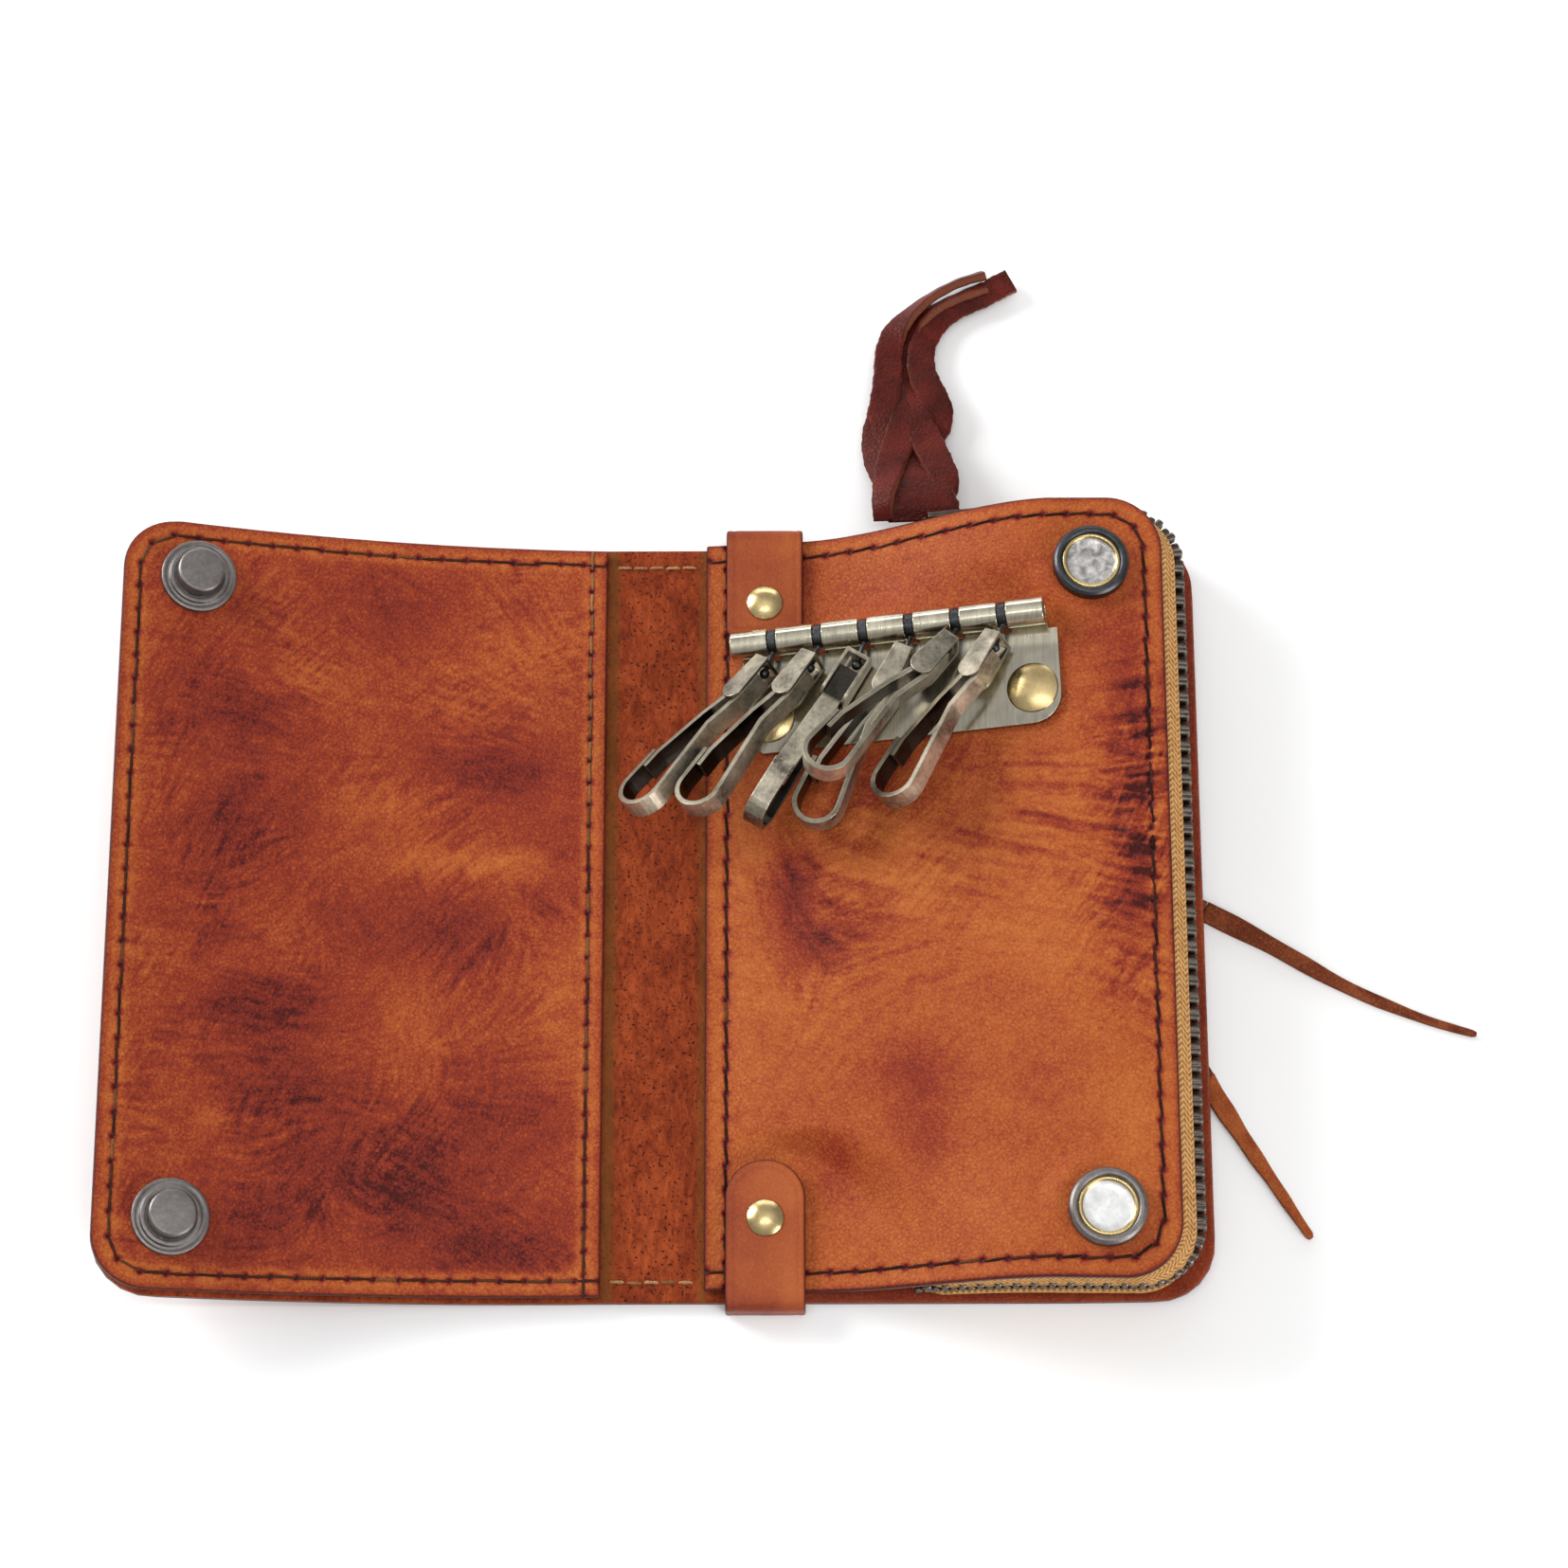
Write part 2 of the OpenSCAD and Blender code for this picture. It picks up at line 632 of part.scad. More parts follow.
// A strip of even thickness along a line of [v, u] points
function side(a, b) = let (d = (b - a) / norm(b - a)) [-d[1], d[0]];
function strip_normal(p, i) =
    i == 0 ? side(p[0], p[1])
    : i == len(p) - 1 ? side(p[i - 1], p[i])
    : let (s = side(p[i - 1], p[i]) + side(p[i], p[i + 1]), u = s / norm(s))
    u / (u * side(p[i], p[i + 1]));
function strip_outline(p, t) = concat(
    [for (i = [0:len(p) - 1]) p[i] + strip_normal(p, i) * t / 2],
    [for (i = [len(p) - 1:-1:0]) p[i] - strip_normal(p, i) * t / 2]
);
module strip(points) {
    translate([0, 0, -strip_w / 2]) linear_extrude(strip_w)
        polygon(strip_outline([for (p = points) [p[0], -p[1]]], strip_t));
}
bend_v = -1.3;
bend_steps = 14;
root_u = 7.3;
leg_v = 1.5;
kink_u = 18.6;
kink_v = 0.5;
exit_u = 12.6;
tip_u = 26.8;
j_line = concat(
    [[leg_v, root_u], [leg_v + 0.1, exit_u], [kink_v, kink_u]],
    [for (i = [0:bend_steps]) let (a = 188 * i / bend_steps - 8)
        [bend_v + bend_r * cos(a), bend_u + bend_r * sin(a)]],
    [[bend_v - bend_r, tip_u]]
);
gate_gap = 0.2;
gate_v = bend_v - bend_r + strip_t + gate_gap;
gate_line = [
    [-0.75, root_u], [-0.75, exit_u], [-2.2, kink_u - 0.9], [gate_v, tip_u], [gate_v, bend_u - bend_r + 0.4]
];
module hook(k) { color(strip_col) on_hook(k) strip(j_line); }
module gate(k) { color(strip_col) on_hook(k) strip(gate_line); }

// Zip: its chain follows the pocket's front, a little outside it on top and at the side
chain_out_top = -0.4;
chain_out_side = 2.8;
chain_in_low = 0.4;
chain_r = 9;
chain_start = 42.4;
chain_end = 38;
chain_z0 = 6.8;
chain_slope = 0.125;
run_step = 5;
chain_x1 = panel_reach + chain_out_side;
chain_y1 = panel_top_y(panel_reach) + chain_out_top;
chain_y0 = panel_low_y(panel_reach) + chain_in_low;
function top_z(x) = chain_z0 + (x - slider_x) * chain_slope;
function low_z(x, y) = (back_top(x) + panel_z(min(x, panel_reach), y) - panel_t) / 2;
side_z = low_z(panel_reach, 0);
// Points of the chain with outward normals: [x, y, z, nx, ny]
function chain_top(x) = [x, panel_top_y(x) + chain_out_top, min(side_z, top_z(x)), 0, 1];
function chain_low(x) = [x, panel_low_y(x) + chain_in_low, low_z(x, panel_low_y(x) + panel_inset), 0, -1];
top_n = 6;
side_n = 20;
arc_n = 6;
chain = concat(
    [for (i = [0:top_n]) chain_top(chain_start + (chain_x1 - chain_r - chain_start) * i / top_n)],
    [for (i = [1:arc_n]) let (a = 90 - 90 * i / arc_n)
        [chain_x1 - chain_r + chain_r * cos(a), chain_y1 - chain_r + chain_r * sin(a), side_z, cos(a), sin(a)]],
    [for (i = [1:side_n - 1])
        [chain_x1, chain_y1 - chain_r + (chain_y0 - chain_y1 + 2 * chain_r) * i / side_n, side_z, 1, 0]],
    [for (i = [0:arc_n]) let (a = -90 * i / arc_n)
        [chain_x1 - chain_r + chain_r * cos(a), chain_y0 + chain_r + chain_r * sin(a), side_z, cos(a), sin(a)]],
    [for (i = [1:top_n + 2]) chain_low(chain_x1 - chain_r + (chain_end - chain_x1 + chain_r) * i / (top_n + 2))]
);

// A ribbon through cross sections of four points each
module ribbon(rings) {
    n = len(rings);
    polyhedron(
        points = [for (r = rings) each r],
        faces = concat(
            [[0, 1, 2, 3]],
            [for (i = [0:n - 2], j = [0:3]) each [
                [4 * i + j, 4 * (i + 1) + j, 4 * i + (j + 1) % 4],
                [4 * i + (j + 1) % 4, 4 * (i + 1) + j, 4 * (i + 1) + (j + 1) % 4]
            ]],
            [[4 * n - 1, 4 * n - 2, 4 * n - 3, 4 * n - 4]]
        )
    );
}
// A solid through cross sections of m points each
module loft(rings, m, flip) {
    n = len(rings);
    function turn(f) = flip ? [for (i = [len(f) - 1:-1:0]) f[i]] : f;
    polyhedron(
        points = [for (r = rings) each r],
        faces = concat(
            [turn([for (j = [0:m - 1]) j])],
            [for (i = [0:n - 2], j = [0:m - 1]) each [
                turn([m * i + j, m * (i + 1) + j, m * i + (j + 1) % m]),
                turn([m * i + (j + 1) % m, m * (i + 1) + j, m * (i + 1) + (j + 1) % m])
            ]],
            [turn([for (j = [m - 1:-1:0]) (n - 1) * m + j])]
        )
    );
}
tape_t = 0.8;
tape_gap = 0.9;
seat_top = 2.6;
seat_side = 4.4;
seat_low = 1.2;
function seat_of(c) = c[3] > 0 ? seat_side * c[3] + (c[4] > 0 ? seat_top : seat_low) * (1 - c[3])
    : c[4] > 0 ? seat_top : seat_low;
// Each tape stands upright past the slider's plates and then runs in to its seam
upright = 2.8;
function tape_ring(c, way, seam_z, seam_in) =
    let (
        z0 = c[2] + way * tape_gap,
        zm = way > 0 ? min(c[2] + upright, seam_z - leaf_gap) : max(c[2] - upright, seam_z + leaf_gap),
        line = [[-tape_t / 2, z0], [tape_t / 2, z0], [tape_t / 2, zm],
            [seam_in + tape_t / 2, seam_z], [seam_in - tape_t / 2, seam_z], [-tape_t / 2, zm]]
    )
    [for (p = line) [c[0] - c[3] * p[0], c[1] - c[4] * p[0], p[1]]];
seam_gap = 0.25;
module zip_tape_upper() {
    color(tape_col) loft([for (c = chain)
        let (s = seat_of(c), x = min(c[0] - c[3] * s, panel_reach - 1), y = c[1] - c[4] * s)
        tape_ring(c, 1, panel_z(x, y) - panel_t - seam_gap, s)], 6, false);
}
base_in = 1.0;
module zip_tape_lower() {
    color(tape_col) loft([for (c = chain)
        let (s = c[4] > 0.5 ? seat_top + base_in : base_in)
        tape_ring(c, -1, back_top(c[0]) + seam_gap, s)], 6, true);
}

// Teeth stand along the chain at even steps, one tape's between the other's
chain_runs = [for (i = 0, l = 0; i < len(chain);
    i = i + 1, l = l + (i < len(chain) ? norm([for (j = [0:2]) chain[i][j] - chain[i - 1][j]]) : 0)) l];
function span_at(l, i = 0) = i >= len(chain) - 2 || chain_runs[i + 1] > l ? i : span_at(l, i + 1);
function chain_at(l) =
    let (i = span_at(l), t = (l - chain_runs[i]) / (chain_runs[i + 1] - chain_runs[i]))
    chain[i] * (1 - t) + chain[i + 1] * t;
tooth_w = 1.3;
tooth_t = 2.4;
tooth_h = 1.7;
tooth_mid = 0.45;
teeth_n = floor(chain_runs[len(chain) - 1] / tooth_pitch) - 1;
module teeth(side_up, shift) {
    color(gun_col) for (i = [0:teeth_n - 1]) {
        c = chain_at((i + shift) * tooth_pitch);
        translate([c[0], c[1], c[2]]) rotate([0, 0, atan2(c[4], c[3])])
            translate([-tooth_t / 2, -tooth_w / 2, side_up ? tooth_mid : -tooth_mid - tooth_h])
                cube([tooth_t, tooth_w, tooth_h]);
    }
}
module zip_teeth_upper() { teeth(true, 0.5); }
module zip_teeth_lower() { teeth(false, 1); }

// Slider: two plates either side of the teeth, joined by a post between the tapes
chain_tilt = atan(chain_slope);
plate_off = tooth_t / 2 + 0.3;
slider_t = 0.8;
post_w = 0.6;
post_l = 1.6;
top_turn = atan(top_flare / (s_end - panel_left));
module at_slider() {
    translate([slider_x, panel_top_y(slider_x) + chain_out_top, chain_z0])
        rotate([0, -chain_tilt, 0]) rotate([0, 0, top_turn]) children();
}
module zip_slider() {
    color(gun_col) at_slider() {
        for (side_y = [plate_off, -plate_off - slider_t])
            translate([-slider_l / 2, side_y, -slider_h / 2]) cube([slider_l, slider_t, slider_h]);
        translate([-slider_l / 2, -plate_off - slider_t / 2, -post_w / 2])
            cube([post_l, 2 * plate_off + slider_t, post_w]);
        difference() {
            for (x = [lug_x - lug_half, lug_x + lug_half - lug_t])
                translate([x, plate_off + slider_t / 2, -lug_h / 2]) cube([lug_t, lug_out, lug_h]);
            translate([lug_x, bail_out, 0]) rotate([0, 90, 0])
                cylinder(r = bail_r + pin_gap, h = 4 * lug_half, center = true);
        }
    }
}
// The bail turns in two lugs on the slider's outer plate and is sewn into the puller
lug_x = -3.2;
lug_half = 2.2;
lug_t = 0.7;
lug_h = 1.9;
lug_out = 2.1;
bail_r = 0.5;
bail_out = plate_off + slider_t + 1.05;
link_w = 2.4;
link_t = 0.8;
link_l = 3.4;
module slider_bail() {
    color(brass_col) at_slider() translate([lug_x, bail_out, 0]) {
        rotate([0, 90, 0]) cylinder(r = bail_r, h = 2 * lug_half, center = true);
        translate([-link_w / 2, 0, -link_t / 2]) cube([link_w, link_l, link_t]);
    }
}

// The braided leather puller: its middle line, widths and thicknesses
puller_path = [
    [-5.1, 6.3, 6.3], [-5.3, 8.6, 6.1], [-7.3, 13.8, 4.2], [-8.2, 17.8, 2.9], [-8.3, 22.0, 2.3],
    [-7.9, 26.8, 2.3], [-6.5, 31.8, 1.8], [-4.5, 36.8, 1.2], [-1.9, 41.4, 1.0], [1.9, 45.2, 1.0],
    [7.5, 48.6, 1.0]
];
puller_line = [for (p = puller_path) [slider_x + p[0], half_h + p[1], p[2]]];
puller_w = [12.4, 13.0, 13.8, 14.4, 14.4, 12.4, 10.2, 10.2, 10.0, 8.8, 6.4];
puller_t = [1.6, 2.6, 4.0, 4.4, 4.4, 4.2, 3.4, 2.2, 1.8, 1.8, 1.8];
function flat_side(p, i) =
    let (a = p[max(0, i - 1)], b = p[min(len(p) - 1, i + 1)], d = [b[0] - a[0], b[1] - a[1]])
    [d[1], -d[0], 0] / norm(d);
module strap(line, widths, thicks) {
    ribbon([for (i = [0:len(line) - 1])
        let (s = flat_side(line, i) * widths[i] / 2, u = [0, 0, thicks[i] / 2])
        [line[i] - s + u, line[i] + s + u, line[i] + s - u, line[i] - s - u]]);
}
module zip_puller() { color(puller_col) strap(puller_line, puller_w, puller_t); }

// The thong: a bight inside the pocket, two slits, and two legs under the cover
slit_in = 5.8;
thong_a = [cover_reach - slit_in, 3.2];
thong_b = [cover_reach - slit_in, -19.2];
slit_l = lace_t + 2 * skin_gap;
exit_out = 0.1;
exit_in = 0.2;
exit_a = [cover_reach + exit_out, 0.9];
exit_b = [cover_reach - exit_in, -28.0];
module leg(p, q) {
    d = q - p;
    translate([p[0], p[1], skin_gap]) rotate([0, 0, atan2(d[1], d[0])])
        translate([-lace_t / 2, -lace_w / 2, 0]) cube([norm(d) + lace_t / 2, lace_w, lace_t]);
}
module lace_thong() {
    top = back_top(thong_a[0] + lace_t / 2) + fold_gap;
    color(lace_col) {
        leg(thong_a, exit_a);
        leg(thong_b, exit_b);
        for (p = [thong_a, thong_b])
            translate([p[0] - lace_t / 2, p[1] - lace_w / 2, skin_gap]) cube([lace_t, lace_w, top + lace_t - skin_gap]);
        translate([thong_a[0] - lace_t / 2, thong_b[1] - lace_w / 2, top])
            cube([lace_t, thong_a[1] - thong_b[1] + lace_w, lace_t]);
    }
}
long_line = [
    [88.9, 0.9, 0.7], [94, -1.8, 0.7], [99, -4.6, 0.7], [104, -7.6, 0.7], [109, -10.6, 0.7],
    [114, -13.2, 0.7], [119, -15.4, 0.7], [124, -17.4, 0.7], [128, -18.7, 0.7], [131.8, -19.8, 0.7]
];
short_line = [
    [88.6, -28.0, 0.7], [91, -32, 0.7], [93.4, -36, 0.7], [96, -40.2, 0.7], [98.8, -44.6, 0.7],
    [101.4, -48.8, 0.7], [104, -52.9, 0.7]
];
lace_dia = 1.2;
module tube(line, dia, sides = 8) {
    n = len(line);
    r = dia / 2;
    up = [0, 0, 1];
    polyhedron(
        points = [for (i = [0:n - 1], j = [0:sides - 1])
            let (s = flat_side(line, i), a = 360 * j / sides)
            line[i] + s * r * cos(a) + up * r * sin(a)],
        faces = concat(
            [[for (j = [0:sides - 1]) j]],
            [for (i = [0:n - 2], j = [0:sides - 1])
                let (a = i * sides + j, b = i * sides + (j + 1) % sides)
                each [[a, a + sides, b], [b, a + sides, b + sides]]],
            [[for (j = [sides - 1:-1:0]) (n - 1) * sides + j]]
        )
    );
}
module lace_long() { color(lace_col) tube(long_line, lace_dia); }
module lace_short() { color(lace_col) tube(short_line, lace_dia); }

cover_flap();
cover_spine();
cover_back();
flap_lining();
pocket_front();
stud_upper();
stud_lower();
stud_caps();
socket_upper();
socket_lower();
spring_rings();
socket_backs();
upper_tab();
lower_tab();
tab_rivets();
rail_plate();
rail_pin();
rail_rivets();
for (k = [1:hook_count]) {
    eye(k);
    bracket(k);
    hook(k);
    gate(k);
}
zip_tape_upper();
zip_tape_lower();
zip_teeth_upper();
zip_teeth_lower();
zip_slider();
slider_bail();
zip_puller();
lace_thong();
lace_long();
lace_short();
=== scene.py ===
"""Looks of the key case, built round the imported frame. Lengths in the helpers are in millimetres."""
import bpy
import math
import numpy as np
from mathutils import Matrix, Vector
from mathutils.kdtree import KDTree


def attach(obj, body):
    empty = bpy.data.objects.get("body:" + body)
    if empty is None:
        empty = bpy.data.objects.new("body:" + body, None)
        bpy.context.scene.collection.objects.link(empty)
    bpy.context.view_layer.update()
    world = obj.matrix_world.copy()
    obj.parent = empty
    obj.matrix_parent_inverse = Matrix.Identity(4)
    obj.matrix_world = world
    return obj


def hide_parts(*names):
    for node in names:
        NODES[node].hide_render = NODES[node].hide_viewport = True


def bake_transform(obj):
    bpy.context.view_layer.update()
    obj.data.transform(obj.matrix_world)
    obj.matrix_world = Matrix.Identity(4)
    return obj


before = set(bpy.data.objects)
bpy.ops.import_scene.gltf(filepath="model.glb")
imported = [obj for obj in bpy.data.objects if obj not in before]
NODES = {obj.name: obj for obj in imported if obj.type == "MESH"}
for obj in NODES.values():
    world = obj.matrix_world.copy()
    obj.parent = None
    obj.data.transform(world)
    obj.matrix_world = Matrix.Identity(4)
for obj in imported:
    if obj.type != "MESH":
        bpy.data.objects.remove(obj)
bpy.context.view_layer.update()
MM = 0.001
RAD = math.pi / 180

# ---------------------------------------------------------------- camera, light, floor
cam_data = bpy.data.cameras.new("camera")
cam_data.sensor_width = 36
cam_data.lens = 96.385
cam_data.clip_start = 0.01
cam = bpy.data.objects.new("camera", cam_data)
bpy.context.scene.collection.objects.link(cam)
cam.matrix_world = (Matrix.Translation((0.0211, -0.194, 0.6507))
                    @ Matrix.Rotation(18.44 * RAD, 4, "X") @ Matrix.Rotation(-0.13 * RAD, 4, "Z"))
bpy.context.scene.camera = cam
bpy.context.scene.view_settings.view_transform = "Standard"

world = bpy.data.worlds.new("studio")
bpy.context.scene.world = world
world.use_nodes = True
SKY_TOP = 1.2
SKY = ((0.0, 0.32), (0.60, 0.32), (0.86, 0.60), (1.0, SKY_TOP))  # height, brightness


def area(name, loc, target, size, power, size_y=None):
    d = bpy.data.lights.new(name, "AREA")
    d.energy = power
    d.size = size
    if size_y:
        d.shape = "RECTANGLE"
        d.size_y = size_y
    o = bpy.data.objects.new(name, d)
    o.location = loc
    o.rotation_euler = (Vector(target) - Vector(loc)).to_track_quat("-Z", "Y").to_euler()
    bpy.context.scene.collection.objects.link(o)


area("softbox", (-0.80, 0.50, 0.48), (0.02, 0.0, 0), 0.55, 10.0, 0.45)
area("fill", (0.70, -0.60, 0.42), (0.02, 0, 0), 0.5, 4.6, 0.35)
area("overhead", (0.02, -0.14, 0.92), (0.02, 0.02, 0), 0.55, 1.3, 0.06)
area("strip", (0.05, 0.85, 0.30), (0.02, 0, 0), 0.9, 2.0, 0.2)


# ---------------------------------------------------------------- node helpers
def new_mat(name):
    m = bpy.data.materials.new(name)
    m.use_nodes = True
    return m, m.node_tree, m.node_tree.nodes["Principled BSDF"]


def nd(nt, kind, ins=None, **props):
    n = nt.nodes.new("ShaderNode" + kind)
    for k, v in props.items():
        setattr(n, k, v)
    for k, v in (ins or {}).items():
        s = n.inputs[k]
        if isinstance(v, bpy.types.NodeSocket):
            nt.links.new(v, s)
        elif isinstance(v, (tuple, list)) and len(v) == 3 and s.type == "RGBA":
            s.default_value = (*v, 1)
        else:
            s.default_value = v
    return n


def coords(nt, scale=(1, 1, 1), rot=(0, 0, 0)):
    tc = nd(nt, "TexCoord")
    return nd(nt, "Mapping", {"Vector": tc.outputs["Object"], "Scale": scale, "Rotation": rot}).outputs[0]


def attr(nt, name):
    return nd(nt, "Attribute", attribute_name=name).outputs["Fac"]


def math_n(nt, op, a, b=0.0, c=0.0):
    return nd(nt, "Math", {0: a, 1: b, 2: c}, operation=op).outputs[0]


def vary(nt, tex, amount, base, middle=0.5):
    """The base, plus a texture's swing about its middle."""
    return math_n(nt, "MULTIPLY_ADD", math_n(nt, "SUBTRACT", tex, middle), amount, base)


def dot_n(nt, a, b):
    return nd(nt, "VectorMath", {0: a, 1: b}, operation="DOT_PRODUCT").outputs["Value"]


def ramp(nt, fac, stops):
    n = nd(nt, "ValToRGB", {"Fac": fac})
    cr = n.color_ramp
    while len(cr.elements) < len(stops):
        cr.elements.new(0.5)
    for e, (p, c) in zip(cr.elements, stops):
        e.position = p
        e.color = (*c, 1)
    return n.outputs[0]


def grey(p0, p1, a=0.0, b=1.0):
    return [(p0, (a, a, a)), (p1, (b, b, b))]


def mix(nt, fac, a, b):
    n = nt.nodes.new("ShaderNodeMix")
    n.data_type = "RGBA"
    for k, v in ((0, fac), (6, a), (7, b)):
        if isinstance(v, bpy.types.NodeSocket):
            nt.links.new(v, n.inputs[k])
        elif isinstance(v, (tuple, list)):
            n.inputs[k].default_value = (*v, 1)
        else:
            n.inputs[k].default_value = v
    return n.outputs[2]


def noise(nt, vec, scale, detail=3.0, rough=0.5, dist=0.0):
    return nd(nt, "TexNoise", {"Vector": vec, "Scale": scale, "Detail": detail, "Roughness": rough,
                               "Distortion": dist}).outputs["Fac"]


def bump(nt, height, strength, distance, normal=None):
    ins = {"Height": height, "Strength": strength, "Distance": distance}
    if normal is not None:
        ins["Normal"] = normal
    return nd(nt, "Bump", ins).outputs[0]


def settle(nt, b, colour, normal, **sockets):
    """Link a material's colour and normal, and set its other sockets by name."""
    nt.links.new(colour, b.inputs["Base Color"])
    nt.links.new(normal, b.inputs["Normal"])
    for k, v in sockets.items():
        b.inputs[k.replace("_", " ")].default_value = v


def light_sky(nt):
    """The sky is brighter overhead, which gives the metals something to show."""
    z = nd(nt, "SeparateXYZ", {0: nd(nt, "TexCoord").outputs["Generated"]}).outputs[2]
    background = nt.nodes["Background"]
    nt.links.new(ramp(nt, z, [(p, (c / SKY_TOP,) * 3) for p, c in SKY]), background.inputs[0])
    background.inputs[1].default_value = SKY_TOP


light_sky(world.node_tree)


# ---------------------------------------------------------------- materials
def leather(name, stops, grain=1.0, rough=0.46, smooth=0.0, spec=0.14, rim=(0.050, 0.009, 0.009)):
    """Waxed pull-up leather: stains, flow creases with painted shade in them, and rims come from the mesh, the grain
    from the nodes.
    """
    m, nt, b = new_mat(name)
    v = coords(nt)
    big = noise(nt, v, 70, 5, 0.65, 0.8)
    mid = noise(nt, v, 480, 4, 0.7, 0.6)
    fine = noise(nt, v, 2100, 3, 0.7, 0.3)
    pits = ramp(nt, noise(nt, v, 2600, 2, 0.5), grey(0.40, 0.62))
    pebble = nd(nt, "TexVoronoi", {"Vector": v, "Scale": 1250.0, "Randomness": 1.0}, feature="DISTANCE_TO_EDGE")
    cells = ramp(nt, pebble.outputs["Distance"], grey(0.0, 0.25))
    # The crease attribute is painted into the colour: painted shade in its valleys and painted light on its ridges,
    # following the relief.
    dark = math_n(nt, "MULTIPLY_ADD", attr(nt, "shaded_crease"), 0.095 * (1 - smooth), attr(nt, "stain"))
    dark = vary(nt, cells, -0.13 * grain, dark, 0.72)
    for tex, amp in ((big, 0.30), (mid, 0.40 * grain), (fine, 0.34 * grain), (pits, 0.16 * grain)):
        dark = vary(nt, tex, amp, dark)
    h = math_n(nt, "MULTIPLY_ADD", fine, 0.5, math_n(nt, "MULTIPLY", cells, 0.5))
    normal = bump(nt, mid, 0.4 * grain, 0.00022, bump(nt, h, 0.7 * grain, 0.00014))
    r = math_n(nt, "MULTIPLY_ADD", fine, 0.25, rough - 0.10)
    nt.links.new(math_n(nt, "MULTIPLY_ADD", attr(nt, "stain"), -0.08, r), b.inputs["Roughness"])
    settle(nt, b, mix(nt, attr(nt, "rim"), ramp(nt, dark, stops), rim), normal,
           Specular_IOR_Level=spec, Specular_Tint=(1.0, 0.80, 0.68, 1))
    return m


ORANGE = [(0.0, (0.4704, 0.1378, 0.0315)), (0.28, (0.3717, 0.0832, 0.0206)), (0.55, (0.2535, 0.0342, 0.0145)),
          (0.85, (0.13, 0.0143, 0.011)), (1.0, (0.0546, 0.0072, 0.0068))]
LEATHER = leather("leather_face", ORANGE)
OUTSIDE = leather("leather_outside", [(0.0, (0.3625, 0.0768, 0.0198)), (0.35, (0.25, 0.0432, 0.0154)),
                                      (0.7, (0.1375, 0.0192, 0.0121)), (1.0, (0.0625, 0.0084, 0.0099))], 1.0,
                                      0.5)
TAB = leather("tab_leather", [(0.0, (0.4032, 0.1045, 0.0299)), (0.4, (0.2856, 0.0594, 0.0218)),
                              (0.8, (0.1624, 0.0264, 0.0161)),
                              (1.0, (0.0728, 0.0099, 0.0115))], 0.55, 0.42, 0.5, 0.16)
BRAID = leather("braid_leather", [(0.0, (0.1224, 0.0133, 0.009)), (0.4, (0.0748, 0.0076, 0.0059)),
                                  (0.8, (0.0394, 0.0047, 0.004)), (1.0, (0.0204, 0.0033, 0.0032))], 1.1, 0.42,
                                  0.3, 0.16,
                (0.17, 0.052, 0.026))
LACE_A = leather("lace_flesh", [(0.0, (0.247, 0.0672, 0.0264)), (0.4, (0.1365, 0.0324, 0.0143)),
                                (1.0, (0.0494, 0.0108, 0.0066))],
                 1.3, 0.7, 0.3, 0.06, (0.16, 0.050, 0.022))
LACE_B = leather("lace_grain", [(0.0, (0.3875, 0.1056, 0.0286)), (0.4, (0.2625, 0.0552, 0.0165)),
                                (1.0, (0.0875, 0.0156, 0.0099))],
                 1.0, 0.55, 0.3, 0.12)


def suede():
    m, nt, b = new_mat("suede")
    v = coords(nt)
    nap = noise(nt, coords(nt, (1, 0.45, 1), (0, 0, 0.5)), 900, 5, 0.7, 0.8)
    cloud = noise(nt, v, 110, 3, 0.6, 0.5)
    speck = noise(nt, v, 1900, 2, 0.5)
    d = vary(nt, nap, 1.5, vary(nt, cloud, 1.0, attr(nt, "stain")))
    col = ramp(nt, d, [(0.0, (0.3654, 0.0721, 0.0211)), (0.45, (0.2205, 0.0371, 0.0123)),
                       (0.8, (0.1008, 0.0155, 0.0066)),
                       (1.0, (0.0504, 0.0093, 0.0044))])
    col = mix(nt, ramp(nt, speck, [(0.33, (0.95, 0.95, 0.88)), (0.40, (0., 0., 0.))]), col,
              (0.040, 0.009, 0.006))
    settle(nt, b, mix(nt, attr(nt, "band"), col, (0.19, 0.078, 0.020)), bump(nt, nap, 0.8, 0.0003),
           Roughness=0.92, Specular_IOR_Level=0.05, Sheen_Weight=0.05, Sheen_Roughness=0.5,
           Sheen_Tint=(0.9, 0.45, 0.22, 1))
    return m


def cut_edge():
    m, nt, b = new_mat("burnished_edge")
    v = coords(nt, (1, 1, 3))
    n = noise(nt, v, 600, 4, 0.6)
    col = ramp(nt, n, [(0.3, (0.035, 0.008, 0.008)), (0.7, (0.12, 0.024, 0.014))])
    settle(nt, b, col, bump(nt, n, 0.5, 0.0002), Roughness=0.5)
    return m


SUEDE = suede()
EDGE = cut_edge()


def thread():
    m, nt, b = new_mat("thread")
    n = noise(nt, coords(nt), 4200, 2, 0.5)
    base = ramp(nt, attr(nt, "tone"), [(0.0, (0.020, 0.007, 0.006)), (0.35, (0.075, 0.024, 0.012)),
                                       (0.7, (0.34, 0.150, 0.055)), (1.0, (0.56, 0.30, 0.14))])
    # Painted shade of the grooves between the plies, spread by noise over the thread.
    groove_shade = mix(nt, 0.55, base, (0.01, 0.004, 0.003))
    settle(nt, b, mix(nt, ramp(nt, n, grey(0.35, 0.7)), groove_shade, base), bump(nt, n, 0.8, 0.0001),
           Roughness=0.8, Specular_IOR_Level=0.12)
    return m


THREAD = thread()


